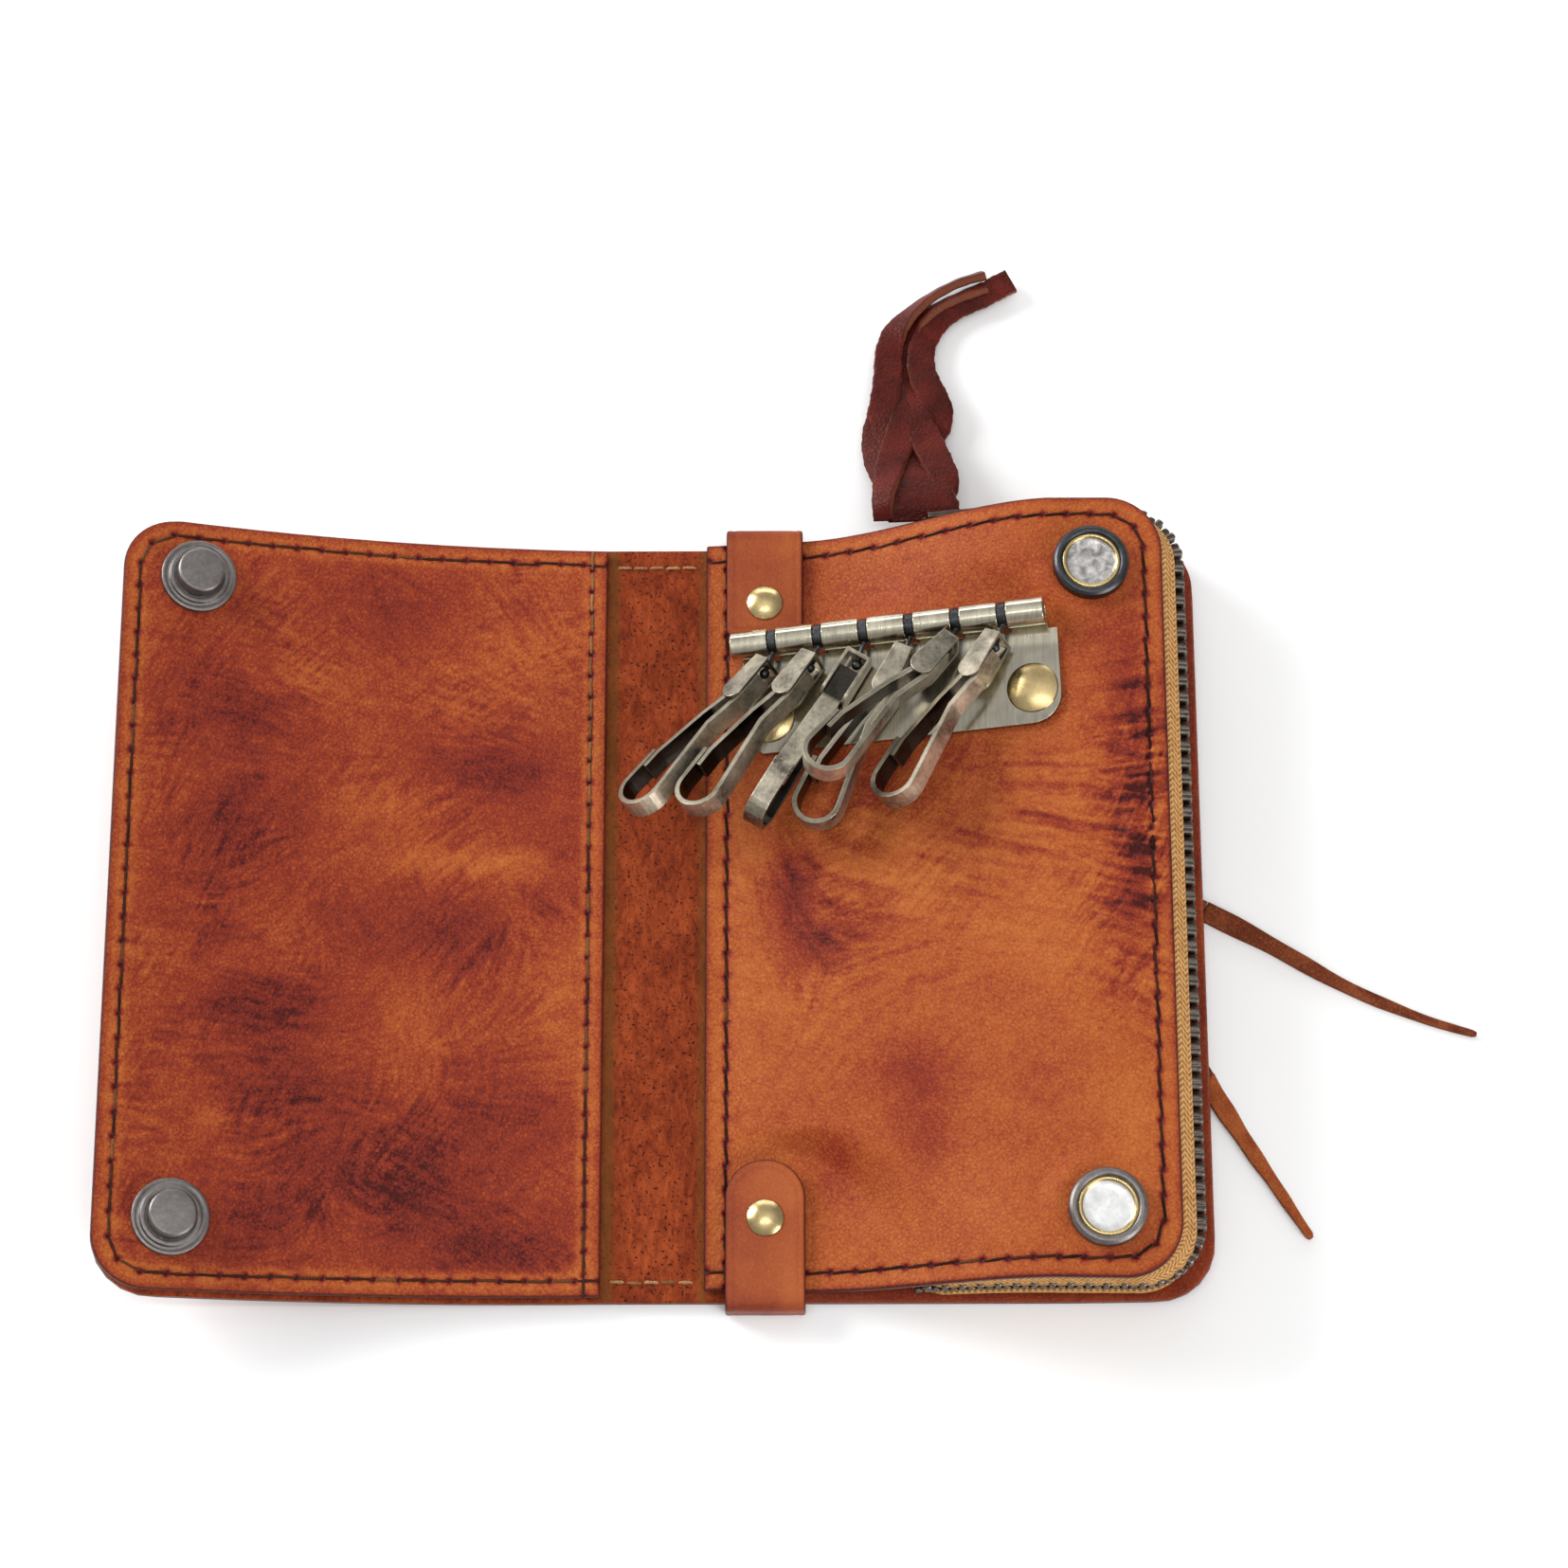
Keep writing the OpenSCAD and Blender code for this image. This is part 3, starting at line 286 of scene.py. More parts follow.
def metal(name, dark, light, rough, brush, edge, edge_col, blotch, cloud=260.0):
    """Plated metal: clouded patina, brushing along one axis, and bright worn edges from a bevel."""
    m, nt, b = new_mat(name)
    v = coords(nt)
    n = noise(nt, v, cloud, 4, 0.6, 0.4)
    scratch = noise(nt, coords(nt, brush or (1, 1, 1)), 3000 if brush else 1500, 2, 0.6)
    col = ramp(nt, vary(nt, scratch, 0.5, vary(nt, n, 2.0 * blotch, 0.5)), [(0.15, dark), (0.85, light)])
    bev = nd(nt, "Bevel", {"Radius": 0.00022}, samples=4).outputs[0]
    flat = dot_n(nt, bev, nd(nt, "NewGeometry").outputs["True Normal"])
    worn = math_n(nt, "MULTIPLY", ramp(nt, flat, [(0.80, (1, 1, 1)), (0.985, (0, 0, 0))]), edge)
    nt.links.new(math_n(nt, "MULTIPLY_ADD", n, 0.22, rough - 0.11), b.inputs["Roughness"])
    settle(nt, b, mix(nt, worn, col, edge_col), bump(nt, scratch, 0.12, 0.00006, bev), Metallic=1.0)
    return m


BARREL = metal("antique_brass", (0.4, 0.356, 0.28), (0.95, 0.9, 0.7), 0.22, (1, 0.05, 0.05), 0.5,
               (0.70, 0.63, 0.46), 0.25)
CHEEK = metal("worn_cheek", (0.1131, 0.0984, 0.0798), (0.5852, 0.5254, 0.4123), 0.32, None, 0.9,
              (0.80, 0.72, 0.55), 0.60, 300.0)

ROLL_START = 40.8  # the y at which the plate starts to rise into its barrels


def shade_flat_plate(m):
    """The flat of the rail's plate is painted darker than the barrels rolled from it, as painted shade on the one
    metal.
    """
    nt, b = m.node_tree, m.node_tree.nodes["Principled BSDF"]
    y = nd(nt, "SeparateXYZ", {0: nd(nt, "TexCoord").outputs["Object"]}).outputs[1]
    rolled = ramp(nt, math_n(nt, "MULTIPLY_ADD", y, 1 / MM, -ROLL_START), grey(0.0, 1.0))
    base = b.inputs["Base Color"].links[0].from_socket
    nt.links.new(mix(nt, rolled, mix(nt, 0.42, base, (0.12, 0.11, 0.11)), base), b.inputs["Base Color"])


shade_flat_plate(BARREL)
GUN = metal("gunmetal", (0.0998, 0.0904, 0.0865), (0.3125, 0.286, 0.2727), 0.42, None, 0.6, (0.42, 0.40, 0.38),
            0.3)
GUN_DARK = metal("gunmetal_dark", (0.0293, 0.0306, 0.0346), (0.1064, 0.1091, 0.1197), 0.36, None, 0.5,
                 (0.30, 0.30, 0.31), 0.3)
BRASS = metal("brass_cap", (0.4522, 0.3259, 0.1396), (0.798, 0.6251, 0.3192), 0.28, None, 0.3,
              (0.82, 0.70, 0.45), 0.2)
RING = metal("brass_ring", (0.42, 0.30, 0.12), (0.78, 0.61, 0.31), 0.25, None, 0.3, (0.9, 0.75, 0.42), 0.2)
# The two socket pans are one part in two tones: the upper is painted in shade, the lower painted lit.
PAN_SHADED = metal("steel_pan", (0.242, 0.2255, 0.22), (0.792, 0.77, 0.759), 0.45, None, 0.2, (0.9, 0.9, 0.9), 0.9,
            650.0)
PAN_LIT = metal("steel_pan_light", (0.605, 0.605, 0.605), (0.95, 0.95, 0.95), 0.5, None, 0.2, (1, 1, 1), 0.7,
                  500.0)
NICKEL = metal("zip_nickel", (0.0372, 0.0279, 0.0213), (0.1596, 0.1264, 0.1037), 0.34, None, 0.8,
               (0.42, 0.38, 0.34), 0.5, 500.0)

# the rail and its hooks, as the solids place them
RAIL_TILT, RAIL_TURN = 13 * RAD, 2.2 * RAD
RAIL_X, RAIL_Y, PLATE_Z, PLATE_T, PIN_UP = 12.8, 44.2, 3.65, 0.8, 3.15
HOOK_FIRST, HOOK_PITCH, EYE_REACH, BRACKET_BACK = 5.8, 7.6, 4.4, 4.5
BEND_AT, BEND_OFF = 33.5, 1.3
HOOK_LEAN = (41.7, 36.2, 33.7, 28.5, 40.7, 33.0)
HOOK_ROLL = (30.3, 19.2, -97.5, 0.8, -0.2, 22.5)
HOOK_LIFT = (10.4, 12.5, 3.7, 3.8, 18.7, 8.7)


def hook_frame(k):
    """Turn and origin of hook k, as the solids place it."""
    rail = Matrix.Rotation(-RAIL_TILT, 3, "Y") @ Matrix.Rotation(RAIL_TURN, 3, "Z")
    lean, roll, lift = (a[k] * RAD for a in (HOOK_LEAN, HOOK_ROLL, HOOK_LIFT))
    R = rail @ Matrix.Rotation(-lean, 3, "Z") @ Matrix.Rotation(-lift, 3, "X") @ Matrix.Rotation(-roll, 3, "Y")
    pin = Vector((RAIL_X, RAIL_Y, PLATE_Z + PLATE_T * math.tan(RAIL_TILT) + PIN_UP / math.cos(RAIL_TILT)))
    web = pin + rail @ Vector((HOOK_FIRST + k * HOOK_PITCH, -EYE_REACH * math.cos(lift),
                               EYE_REACH * math.sin(lift)))
    return R, web + R @ Vector((0, BRACKET_BACK, 0))


def strip_metal(k):
    """A hook's sprung strip: brushed and bright outside, painted dark inside as painted shade and painted dark
    reflection, with worn edges.
    """
    R, o = hook_frame(k)
    m = metal("hook_strip_%d" % (k + 1), (0.0931, 0.0811, 0.0625), (0.7448, 0.665, 0.5121), 0.30, None, 0.7,
              (0.75, 0.68, 0.52), 0.85, 130.0)
    nt, b = m.node_tree, m.node_tree.nodes["Principled BSDF"]
    tc = nd(nt, "TexCoord")
    p = nd(nt, "VectorMath", {0: tc.outputs["Object"], 1: tuple(o * MM)}, operation="SUBTRACT").outputs[0]
    px, py = (dot_n(nt, p, tuple(R.col[i])) for i in range(2))
    nx, ny, nz = (dot_n(nt, tc.outputs["Normal"], tuple(R.col[i])) for i in range(3))
    px = math_n(nt, "ADD", px, BEND_OFF * MM)
    py = math_n(nt, "MINIMUM", math_n(nt, "ADD", py, BEND_AT * MM), 0.0)
    way = math_n(nt, "MULTIPLY_ADD", py, ny, math_n(nt, "MULTIPLY", px, nx))
    outer = ramp(nt, math_n(nt, "MULTIPLY_ADD", way, 700.0, 0.5), grey(0.42, 0.58))
    side = ramp(nt, math_n(nt, "ABSOLUTE", nz), grey(0.55, 0.8))
    base = b.inputs["Base Color"].links[0].from_socket
    # The inside faces are painted near black: painted shade and painted dark reflection.
    inner = mix(nt, 0.92, base, (0.012, 0.011, 0.011))
    col = mix(nt, side, mix(nt, outer, inner, base), mix(nt, 0.6, base, (0.26, 0.23, 0.175)))
    nt.links.new(col, b.inputs["Base Color"])
    nt.links.new(math_n(nt, "MULTIPLY_ADD", outer, -0.22, 1.0), b.inputs["Metallic"])
    return m


def set_mat(obj, *mats):
    obj.data.materials.clear()
    for m in mats:
        obj.data.materials.append(m)


# The upper socket takes the darker gunmetal as painted shade on the upper snap.
for name, m in {"stud_upper": GUN, "stud_lower": GUN, "stud_caps": GUN, "socket_upper": GUN_DARK,
                "socket_lower": GUN,
                "spring_rings": RING, "socket_backs": GUN, "tab_rivets": BRASS, "rail_pin": GUN_DARK,
                "rail_rivets": BRASS, "rail_plate": BARREL, "zip_slider": NICKEL,
                "slider_bail": NICKEL}.items():
    set_mat(NODES[name], m)
for k in range(1, 7):
    set_mat(NODES["eye_%d" % k], GUN_DARK)
    set_mat(NODES["bracket_%d" % k], CHEEK)
    strip = strip_metal(k - 1)
    set_mat(NODES["hook_%d" % k], strip)
    set_mat(NODES["gate_%d" % k], strip)


# ---------------------------------------------------------------- the part's own sizes and curves
half_h, fold_x, fold_gap, skin_gap = 63.2, 7.5, 0.1, 0.05
cover_t, lining_t, panel_t, inner_z = 2.0, 1.4, 1.6, 2.0
curl_r, flap_w, corner_r = 246.0, 80.2, 9.0
panel_reach, cover_reach, panel_inset, top_flare = 82.4, 88.8, 1.6, 2.8
ramp_a, ramp_foot, ramp_end = 13 * RAD, 12.0, 64.4
panel_left, panel_top_z = fold_x + 0.9, inner_z + skin_gap + panel_t
level_start = panel_reach - 0.4
s_start, s_end = 24.0, 64.0
snap_up, snap_low, snap_r = 54.4, 51.8, 6.1
FLARE_UP, FLARE_LOW, BACK_FLAT, BACK_CURL_R = 1.6, 0.7, 60, 170
PITCH, TOOTH_PITCH = 3.9, 2.8
up_start, up_end, low_start, low_end = (42.6, 47.5), (46.6, 58.0), (35.6, 40.0), (40.6, 56.0)


def smooth(t):
    c = np.clip(t, 0, 1)
    return c * c * (3 - 2 * c)


def flap_pt(s, d):
    a = s / curl_r
    r = curl_r - d
    return -fold_x - fold_gap - r * np.sin(a), curl_r - r * np.cos(a)


def turn_y(p, c, a):
    x, z = p[0] - c[0], p[1] - c[1]
    return (c[0] + x * math.cos(a) + z * math.sin(a), c[1] - x * math.sin(a) + z * math.cos(a))


# where the sockets lie: under the studs, once both folds have turned
FLAP_TURN, SPINE_TURN = 90.2 * RAD, 75 * RAD
stud_s = panel_reach - 14.0
lining_top = cover_t + skin_gap + lining_t
over_spine = turn_y(flap_pt(stud_s, lining_top + 5.4), (-fold_x, inner_z), FLAP_TURN)
socket_p = turn_y(over_spine, (fold_x, inner_z), SPINE_TURN)
socket_tilt = stud_s / curl_r + FLAP_TURN + SPINE_TURN - math.pi

ramp_rise = (ramp_end - ramp_foot) * math.tan(ramp_a)
full_rise = ramp_rise + math.tan(ramp_a) * (level_start - ramp_end) / 2


def ramp_z(x):
    xm = np.minimum(x, level_start) - ramp_end
    far = ramp_rise + math.tan(ramp_a) * xm * (1 - xm / (level_start - ramp_end) / 2)
    return np.where(x < ramp_foot, 0, np.where(x < ramp_end, (x - ramp_foot) * math.tan(ramp_a), far))


def away(pair, x):
    return pair[0] + (pair[1] - pair[0]) * smooth((x - s_start) / (s_end - s_start) * 2)


def edge_share(x, y):
    up = smooth((y - away(up_start, x)) / (away(up_end, x) - away(up_start, x)))
    lo = smooth((-y - away(low_start, x)) / (away(low_end, x) - away(low_start, x)))
    return np.where(y > 0, up, lo)


def pad_share(x, y):
    d = np.minimum(np.hypot(x - socket_p[0], y - snap_up), np.hypot(x - socket_p[0], y + snap_low))
    return 1 - smooth((d - snap_r - 0.8) / 4)


def panel_z(x, y):
    e = edge_share(x, y)
    p = pad_share(x, y)
    edge_z = full_rise * smooth((x - s_start) / (s_end - s_start))
    free = panel_top_z + ramp_z(x) * (1 - e) + edge_z * e
    pad = socket_p[1] - skin_gap - (x - socket_p[0]) * math.tan(socket_tilt)
    return free * (1 - p) + pad * p


def panel_top_y(x):
    return half_h + 0.2 + top_flare * np.minimum(1, (x - panel_left) / (s_end - panel_left))


def panel_low_y(x):
    return -half_h + panel_inset - 1.1 * (x - panel_left) / (panel_reach - panel_left)


def back_pt(x, d):
    a = np.maximum(0, x - BACK_FLAT) / BACK_CURL_R
    r, on = BACK_CURL_R - d, x <= BACK_FLAT
    return np.where(on, x, BACK_FLAT + r * np.sin(a)), np.where(on, d, BACK_CURL_R - r * np.cos(a))


# ---------------------------------------------------------------- noise on points
def _hash(ix, iy, seed):
    h = (ix.astype(np.int64) * 374761393 + iy.astype(np.int64) * 668265263 + seed * 1442695041) & 0xFFFFFFFF
    h = ((h ^ (h >> 13)) * 1274126177) & 0xFFFFFFFF
    return ((h ^ (h >> 16)) & 0xFFFF) / 65535.0


def vnoise(x, y, seed):
    ix, iy = np.floor(x), np.floor(y)
    fx, fy = x - ix, y - iy
    fx, fy = fx * fx * (3 - 2 * fx), fy * fy * (3 - 2 * fy)
    a, b = _hash(ix, iy, seed), _hash(ix + 1, iy, seed)
    c, d = _hash(ix, iy + 1, seed), _hash(ix + 1, iy + 1, seed)
    return (a * (1 - fx) + b * fx) * (1 - fy) + (c * (1 - fx) + d * fx) * fy


def fbm(x, y, seed, octaves=4, rough=0.5):
    t, amp, tot = 0, 1.0, 0
    for k in range(octaves):
        t = t + amp * (vnoise(x * 2 ** k + 17.3 * k, y * 2 ** k - 9.1 * k, seed + k) - 0.5)
        tot += amp
        amp *= rough
    return t / tot


def flow_noise(x, y, field, cell, length, seed):
    """Noise drawn out along a field of angles, so that creases run as the field does."""
    fx = np.array([f[0] for f in field])
    fy = np.array([f[1] for f in field])
    fa = np.array([f[2] for f in field]) * RAD * 2
    fr = np.array([f[3] for f in field])

    def double(px, py):
        c, s = 0, 0
        for k in range(len(fx)):
            w = np.exp(-((px - fx[k]) ** 2 + (py - fy[k]) ** 2) / (2 * fr[k] ** 2)) + 1e-9
            c = c + w * math.cos(fa[k])
            s = s + w * math.sin(fa[k])
        return np.arctan2(s, c) / 2

    wx = x + 1.6 * fbm(x / 7, y / 7, seed + 50)
    wy = y + 1.6 * fbm(x / 7 + 40, y / 7, seed + 51)
    steps = max(3, int(length / cell * 1.6))
    ds = length / steps
    total = vnoise(wx / cell, wy / cell, seed)
    for sign in (1, -1):
        px, py = wx.copy(), wy.copy()
        a = double(px, py)
        dx, dy = sign * np.cos(a), sign * np.sin(a)
        for k in range(steps):
            px = px + dx * ds
            py = py + dy * ds
            total = total + vnoise(px / cell, py / cell, seed)
            if k % 2:
                a = double(px, py)
                nx, ny = np.cos(a), np.sin(a)
                flip = np.sign(nx * dx + ny * dy)
                flip[flip == 0] = 1
                dx, dy = nx * flip, ny * flip
    total = total / (2 * steps + 1)
    return (total - total.mean()) / (total.std() + 1e-9)


def wrinkles(x, y, field, seed):
    """Crease valleys between flat pads, in two sizes and two directions, that gather in patches; the leather paints
    shade into the valleys.
    """
    small = flow_noise(x, y, field, 0.42, 1.3, seed)
    mid = flow_noise(x, y, field, 0.78, 2.6, seed + 20)
    cross = [(f[0] + 5, f[1] - 4, f[2] + 68, f[3]) for f in field]
    over = flow_noise(x, y, cross, 0.42, 1.3, seed + 40)
    folds = flow_noise(x, y, cross, 0.8, 3.0, seed + 80)
    patch = smooth(0.5 + 1.9 * fbm(x / 8, y / 8, seed + 60, 3))
    other = smooth(0.45 + 2.0 * fbm(x / 7, y / 7, seed + 70, 3))
    t = (0.75 * small + 0.85 * mid) * (0.20 + 0.80 * patch) + (0.75 * over + 0.6 * folds) * other
    return np.where(t > 0, t, t * 0.7)


def blobs(x, y, rows):
    t = np.zeros_like(x)
    for bx, by, rx, ry, amp in rows:
        t = t + amp * np.exp(-(((x - bx) / rx) ** 2 + ((y - by) / ry) ** 2))
    return t


# ---------------------------------------------------------------- mesh helpers
def build(name, co, faces, attrs=None, mats=(), face_mat=None, flat=None):
    """A mesh object from points in millimetres and an array of quads."""
    co = np.asarray(co, float).reshape(-1, 3) * MM
    me = bpy.data.meshes.new(name)
    me.vertices.add(len(co))
    me.vertices.foreach_set("co", co.ravel())
    faces = [np.asarray(f, np.int32) for f in (faces if isinstance(faces, list) else [faces])]
    faces = [f for f in faces if len(f)]
    loops = np.concatenate([f.ravel() for f in faces])
    totals = np.concatenate([np.full(len(f), f.shape[1], np.int32) for f in faces])
    starts = np.concatenate([[0], np.cumsum(totals)[:-1]]).astype(np.int32)
    me.loops.add(len(loops))
    me.loops.foreach_set("vertex_index", loops)
    me.polygons.add(len(totals))
    me.polygons.foreach_set("loop_start", starts)
    me.polygons.foreach_set("loop_total", totals)
    if face_mat is not None:
        me.polygons.foreach_set("material_index", np.asarray(face_mat, np.int32))
    me.polygons.foreach_set("use_smooth", np.full(len(totals), True) if flat is None else ~flat)
    me.update(calc_edges=True)
    for k, v in (attrs or {}).items():
        a = me.attributes.new(k, "FLOAT", "POINT")
        a.data.foreach_set("value", np.asarray(v, np.float32).ravel())
    ob = bpy.data.objects.new(name, me)
    for m in mats:
        me.materials.append(m)
    bpy.context.scene.collection.objects.link(ob)
    return ob


def tube(n, m):
    """Quads between n rings of m points each."""
    idx = np.arange(n * m).reshape(n, m)
    nxt = np.roll(idx, -1, axis=1)
    return np.stack([idx[:-1], nxt[:-1], nxt[1:], idx[1:]], -1).reshape(-1, 4)


def squared(v, power):
    """A sine or cosine drawn out towards the corners of a rounded rectangle."""
    return np.copysign(np.abs(v) ** power, v)


def side_path(A, B, r0, r1, t):
    """Points along the lower side of a rounded rectangle, from corner middle to corner middle."""
    r0, r1 = min(r0, A, B), min(r1, A, B)
    l0, l1 = math.pi / 4 * r0, math.pi / 4 * r1
    mid = 2 * A - r0 - r1
    L = l0 + mid + l1
    l = t * L
    p = -A + r0 + np.clip(l - l0, 0, mid)
    q = np.full_like(p, -B)
    if r0 > 1e-6:
        th = (225 * RAD) + np.clip(l, 0, l0) / r0
        m = l < l0
        p = np.where(m, -A + r0 + r0 * np.cos(th), p)
        q = np.where(m, -B + r0 + r0 * np.sin(th), q)
    if r1 > 1e-6:
        th = (270 * RAD) + np.clip(l - l0 - mid, 0, l1) / r1
        m = l > l0 + mid
        p = np.where(m, A - r1 + r1 * np.cos(th), p)
        q = np.where(m, -B + r1 + r1 * np.sin(th), q)
    return p, q


def ring_grid(a, b, radii, h, edges):
    """A grid over a rounded rectangle whose outer rings follow its edge. radii: ll, lr, ur, ul.
    Both sides come out a multiple of four quads, so that the hidden face can take every fourth line."""
    edges = list(edges)
    K = len(edges) - 1
    n_in = max(2, int(round((a - edges[-1]) / h)))
    n_in += (K + n_in) % 2
    step = (a - edges[-1]) / n_in
    d = edges + [edges[-1] + step * (k + 1) for k in range(n_in)]
    nx = 2 * (len(d) - 1) + 1
    ny = nx + 4 * max(0 if b <= a else 1, int(round((b - a) / step / 2)))
    X, Y, D = np.zeros((nx, ny)), np.zeros((nx, ny)), np.zeros((nx, ny))
    for k, dk in enumerate(d):
        A, B = a - dk, b - dk
        rr = [max(0.0, r - dk) for r in radii]
        n, m = nx - 1 - 2 * k, ny - 1 - 2 * k
        if n > 0:
            t = np.arange(n + 1) / n
            p, q = side_path(A, B, rr[0], rr[1], t)
            X[k:k + n + 1, k], Y[k:k + n + 1, k] = p, q
            p, q = side_path(A, B, rr[2], rr[3], t)
            X[k:k + n + 1, ny - 1 - k], Y[k:k + n + 1, ny - 1 - k] = -p[::-1], -q[::-1]
        t = np.arange(m + 1) / max(1, m)
        p, q = side_path(B, A, rr[1], rr[2], t)
        X[nx - 1 - k, k:k + m + 1], Y[nx - 1 - k, k:k + m + 1] = -q, p
        p, q = side_path(B, A, rr[3], rr[0], t)
        X[k, k:k + m + 1], Y[k, k:k + m + 1] = q[::-1], -p[::-1]
        D[k:nx - k, k:ny - k] = dk
    return X, Y, D


EDGES = [0, 0.08, 0.2, 0.36, 0.55, 0.8, 1.2, 1.6, 2.0, 2.35, 2.6, 2.8, 3.0, 3.2, 3.4, 3.65, 4.0, 4.5]


def marks(stain, shaded_crease, rim, band):
    """Point attributes of a sheet's upper and lower face, as its materials read them."""
    return {"stain": stain, "shaded_crease": shaded_crease, "rim": rim, "band": band}


def slab(name, X, Y, D, place, t, edge, relief, mats, attrs, flip=False, low_relief=0, patch=None):
    """A sheet of leather: two faces over the same grid, rounded edges, and a wall between them."""
    nx, ny = X.shape
    e = edge - np.sqrt(np.maximum(0, edge ** 2 - np.maximum(0, edge - D) ** 2))
    top = np.stack(place(X, Y, relief - e), -1).reshape(-1, 3)
    low = np.stack(place(X, Y, -t + e + low_relief), -1).reshape(-1, 3)
    N = nx * ny
    idx = np.arange(N).reshape(nx, ny)
    ci, cj = np.arange(0, nx, 4), np.arange(0, ny, 4)
    low = low.reshape(nx, ny, 3)[np.ix_(ci, cj)].reshape(-1, 3)
    lid = N + np.arange(len(ci) * len(cj)).reshape(len(ci), len(cj))
    quads = lambda g: np.stack([g[:-1, :-1], g[1:, :-1], g[1:, 1:], g[:-1, 1:]], -1).reshape(-1, 4)
    ring = lambda g: np.concatenate([g[:, 0], g[-1, 1:], g[-2::-1, -1], g[0, -2:0:-1]])
    loop, low_loop = ring(idx), ring(lid)
    n = len(loop)
    fine = loop[(np.arange(0, n, 4)[:, None] + np.arange(5)) % n]
    wall = np.concatenate([fine, np.roll(low_loop, -1)[:, None], low_loop[:, None]], 1)[:, ::-1]
    faces = [quads(idx), quads(lid)[:, ::-1], wall]
    if flip:
        faces = [f[:, ::-1] for f in faces]
    fm = np.concatenate([np.full(len(f), i) for i, f in enumerate(faces)])
    flat = fm == 2
    if patch is not None:
        on = np.broadcast_to(patch, X.shape)[:-1, :-1].ravel()
        fm[:len(on)] = np.where(on, 1, 0)
    pick = lambda v: np.broadcast_to(v, X.shape)
    a = {k: np.concatenate([pick(v[0]).ravel(), pick(v[1])[np.ix_(ci, cj)].ravel()]) for k, v in attrs.items()}
    return build(name, np.concatenate([top, low]), faces, a, mats, fm, flat=flat)


def run_of(p):
    """Length along a polyline at each of its points."""
    return np.concatenate([[0], np.cumsum(np.linalg.norm(np.diff(p, axis=0), axis=1))])


def row_round(a, b, r, x_end):
    """A stitch row's line: along the top, round the two free corners and back along the bottom."""
    turn = [(a - r + r * math.cos(t), b - r + r * math.sin(t)) for t in np.linspace(math.pi / 2, 0, 12)]
    return [(x_end, b)] + turn + [(x, -y) for x, y in turn[::-1]] + [(x_end, -b)]


def along(points, pitch):
    """Even holes along a polyline, near the pitch asked for."""
    p = np.asarray(points, float)
    run = run_of(p)
    n = max(1, int(round(run[-1] / pitch)))
    s = np.linspace(0, run[-1], n + 1)
    return np.stack([np.interp(s, run, p[:, 0]), np.interp(s, run, p[:, 1])], -1)


def stitch_fields(X, Y, rows):
    """Distance of grid points to the stitch rows and to their holes, out to a few millimetres."""
    line, holes = [], []
    for r in rows:
        holes.append(r)
        for a, b in zip(r[:-1], r[1:]):
            for f in np.linspace(0, 1, 9)[:-1]:
                line.append(a + (b - a) * f)
        line.append(r[-1])
    holes = np.concatenate(holes)
    out = []
    for pts in (np.array(line), holes):
        kd = KDTree(len(pts))
        for i, q in enumerate(pts):
            kd.insert((q[0], q[1], 0), i)
        kd.balance()
        out.append(np.array([kd.find((x, y, 0))[2] for x, y in zip(X.ravel(), Y.ravel())]).reshape(X.shape))
    return out


def stitch_relief(dl, dh):
    return -0.12 * np.exp(-(dl / 0.38) ** 2) - 0.34 * np.exp(-(dh / 0.42) ** 2)


def thread_mesh(name, rows, height, tones, radius=0.24, lift=0.05, dive=0.55, seed=3, skew=0.0):
    """Every stitch is a short two-ply cord that dives into its holes."""
    rng = np.random.default_rng(seed)
    co, faces, tone = [], [], []
    S, R = 8, 9
    for r, tn in zip(rows, tones):
        for i, (a, b) in enumerate(zip(r[:-1], r[1:])):
            d = b - a
            L = np.hypot(*d)
            if L < 0.5:
                continue
            d = d / L
            side = np.array([-d[1], d[0]])
            wob = rng.normal(0, 0.07, 2)
            tv = tn(a[0], a[1]) if callable(tn) else tn
            tv = float(np.clip(tv + rng.normal(0, 0.13), 0, 1))
            base = len(co)
            for k in range(R):
                f = k / (R - 1)
                g = 0.04 + 0.92 * f
                p = a + d * L * g + side * (wob[0] + (f - 0.5) * (skew + wob[1]))
                arch = math.sin(math.pi * f)
                z = float(height(p[0], p[1])) + lift - dive * (1 - min(1, arch * 2.2)) ** 2 - 0.12
                rr = radius * (0.72 + 0.28 * min(1, arch * 1.8))
                for s in range(S):
                    th = 2 * math.pi * s / S
                    ply = 1 + 0.16 * math.cos(2 * (th - f * 5.0 - i))
                    q = p + side * rr * ply * math.cos(th)
                    co.append((q[0], q[1], z + rr * ply * math.sin(th) * 0.85))
                    tone.append(tv)
            for k in range(R - 1):
                for s in range(S):
                    a0 = base + k * S + s
                    a1 = base + k * S + (s + 1) % S
                    faces.append((a0, a0 + S, a1 + S, a1))
    return build(name, co, np.array(faces), {"tone": tone}, [THREAD])


# ---------------------------------------------------------------- the cover: flap, spine and back
flap_x1 = float(flap_pt(np.array(flap_w), 0)[0])


def flared(Y, w):
    """Heights on the flap, which widens from its root (w = 0) to its free end (w = 1)."""
    return Y * (1 + np.where(Y > 0, FLARE_UP, FLARE_LOW) / half_h * w)


def flap_surface(x, d):
    """Height and place on the flap of a plan point x at a depth d in the leather."""
    s = curl_r * np.arcsin(np.clip((-x - fold_x - fold_gap) / (curl_r - lining_top), 0, 0.6))
    return flap_pt(s, d)


def cover_left_place(X, Y, off):
    u = X + cl_mid
    x = -u
    y = flared(Y, np.clip((u - 8) / (-flap_x1 - 8), 0, 1))
    d = cover_t + off
    s = curl_r * np.arcsin(np.clip((u - fold_x - fold_gap) / curl_r, 0, 0.6))
    px, pz = flap_pt(s, d)
    on = u > fold_x + fold_gap
    return np.where(on, px, x), y, np.where(on, pz, d)


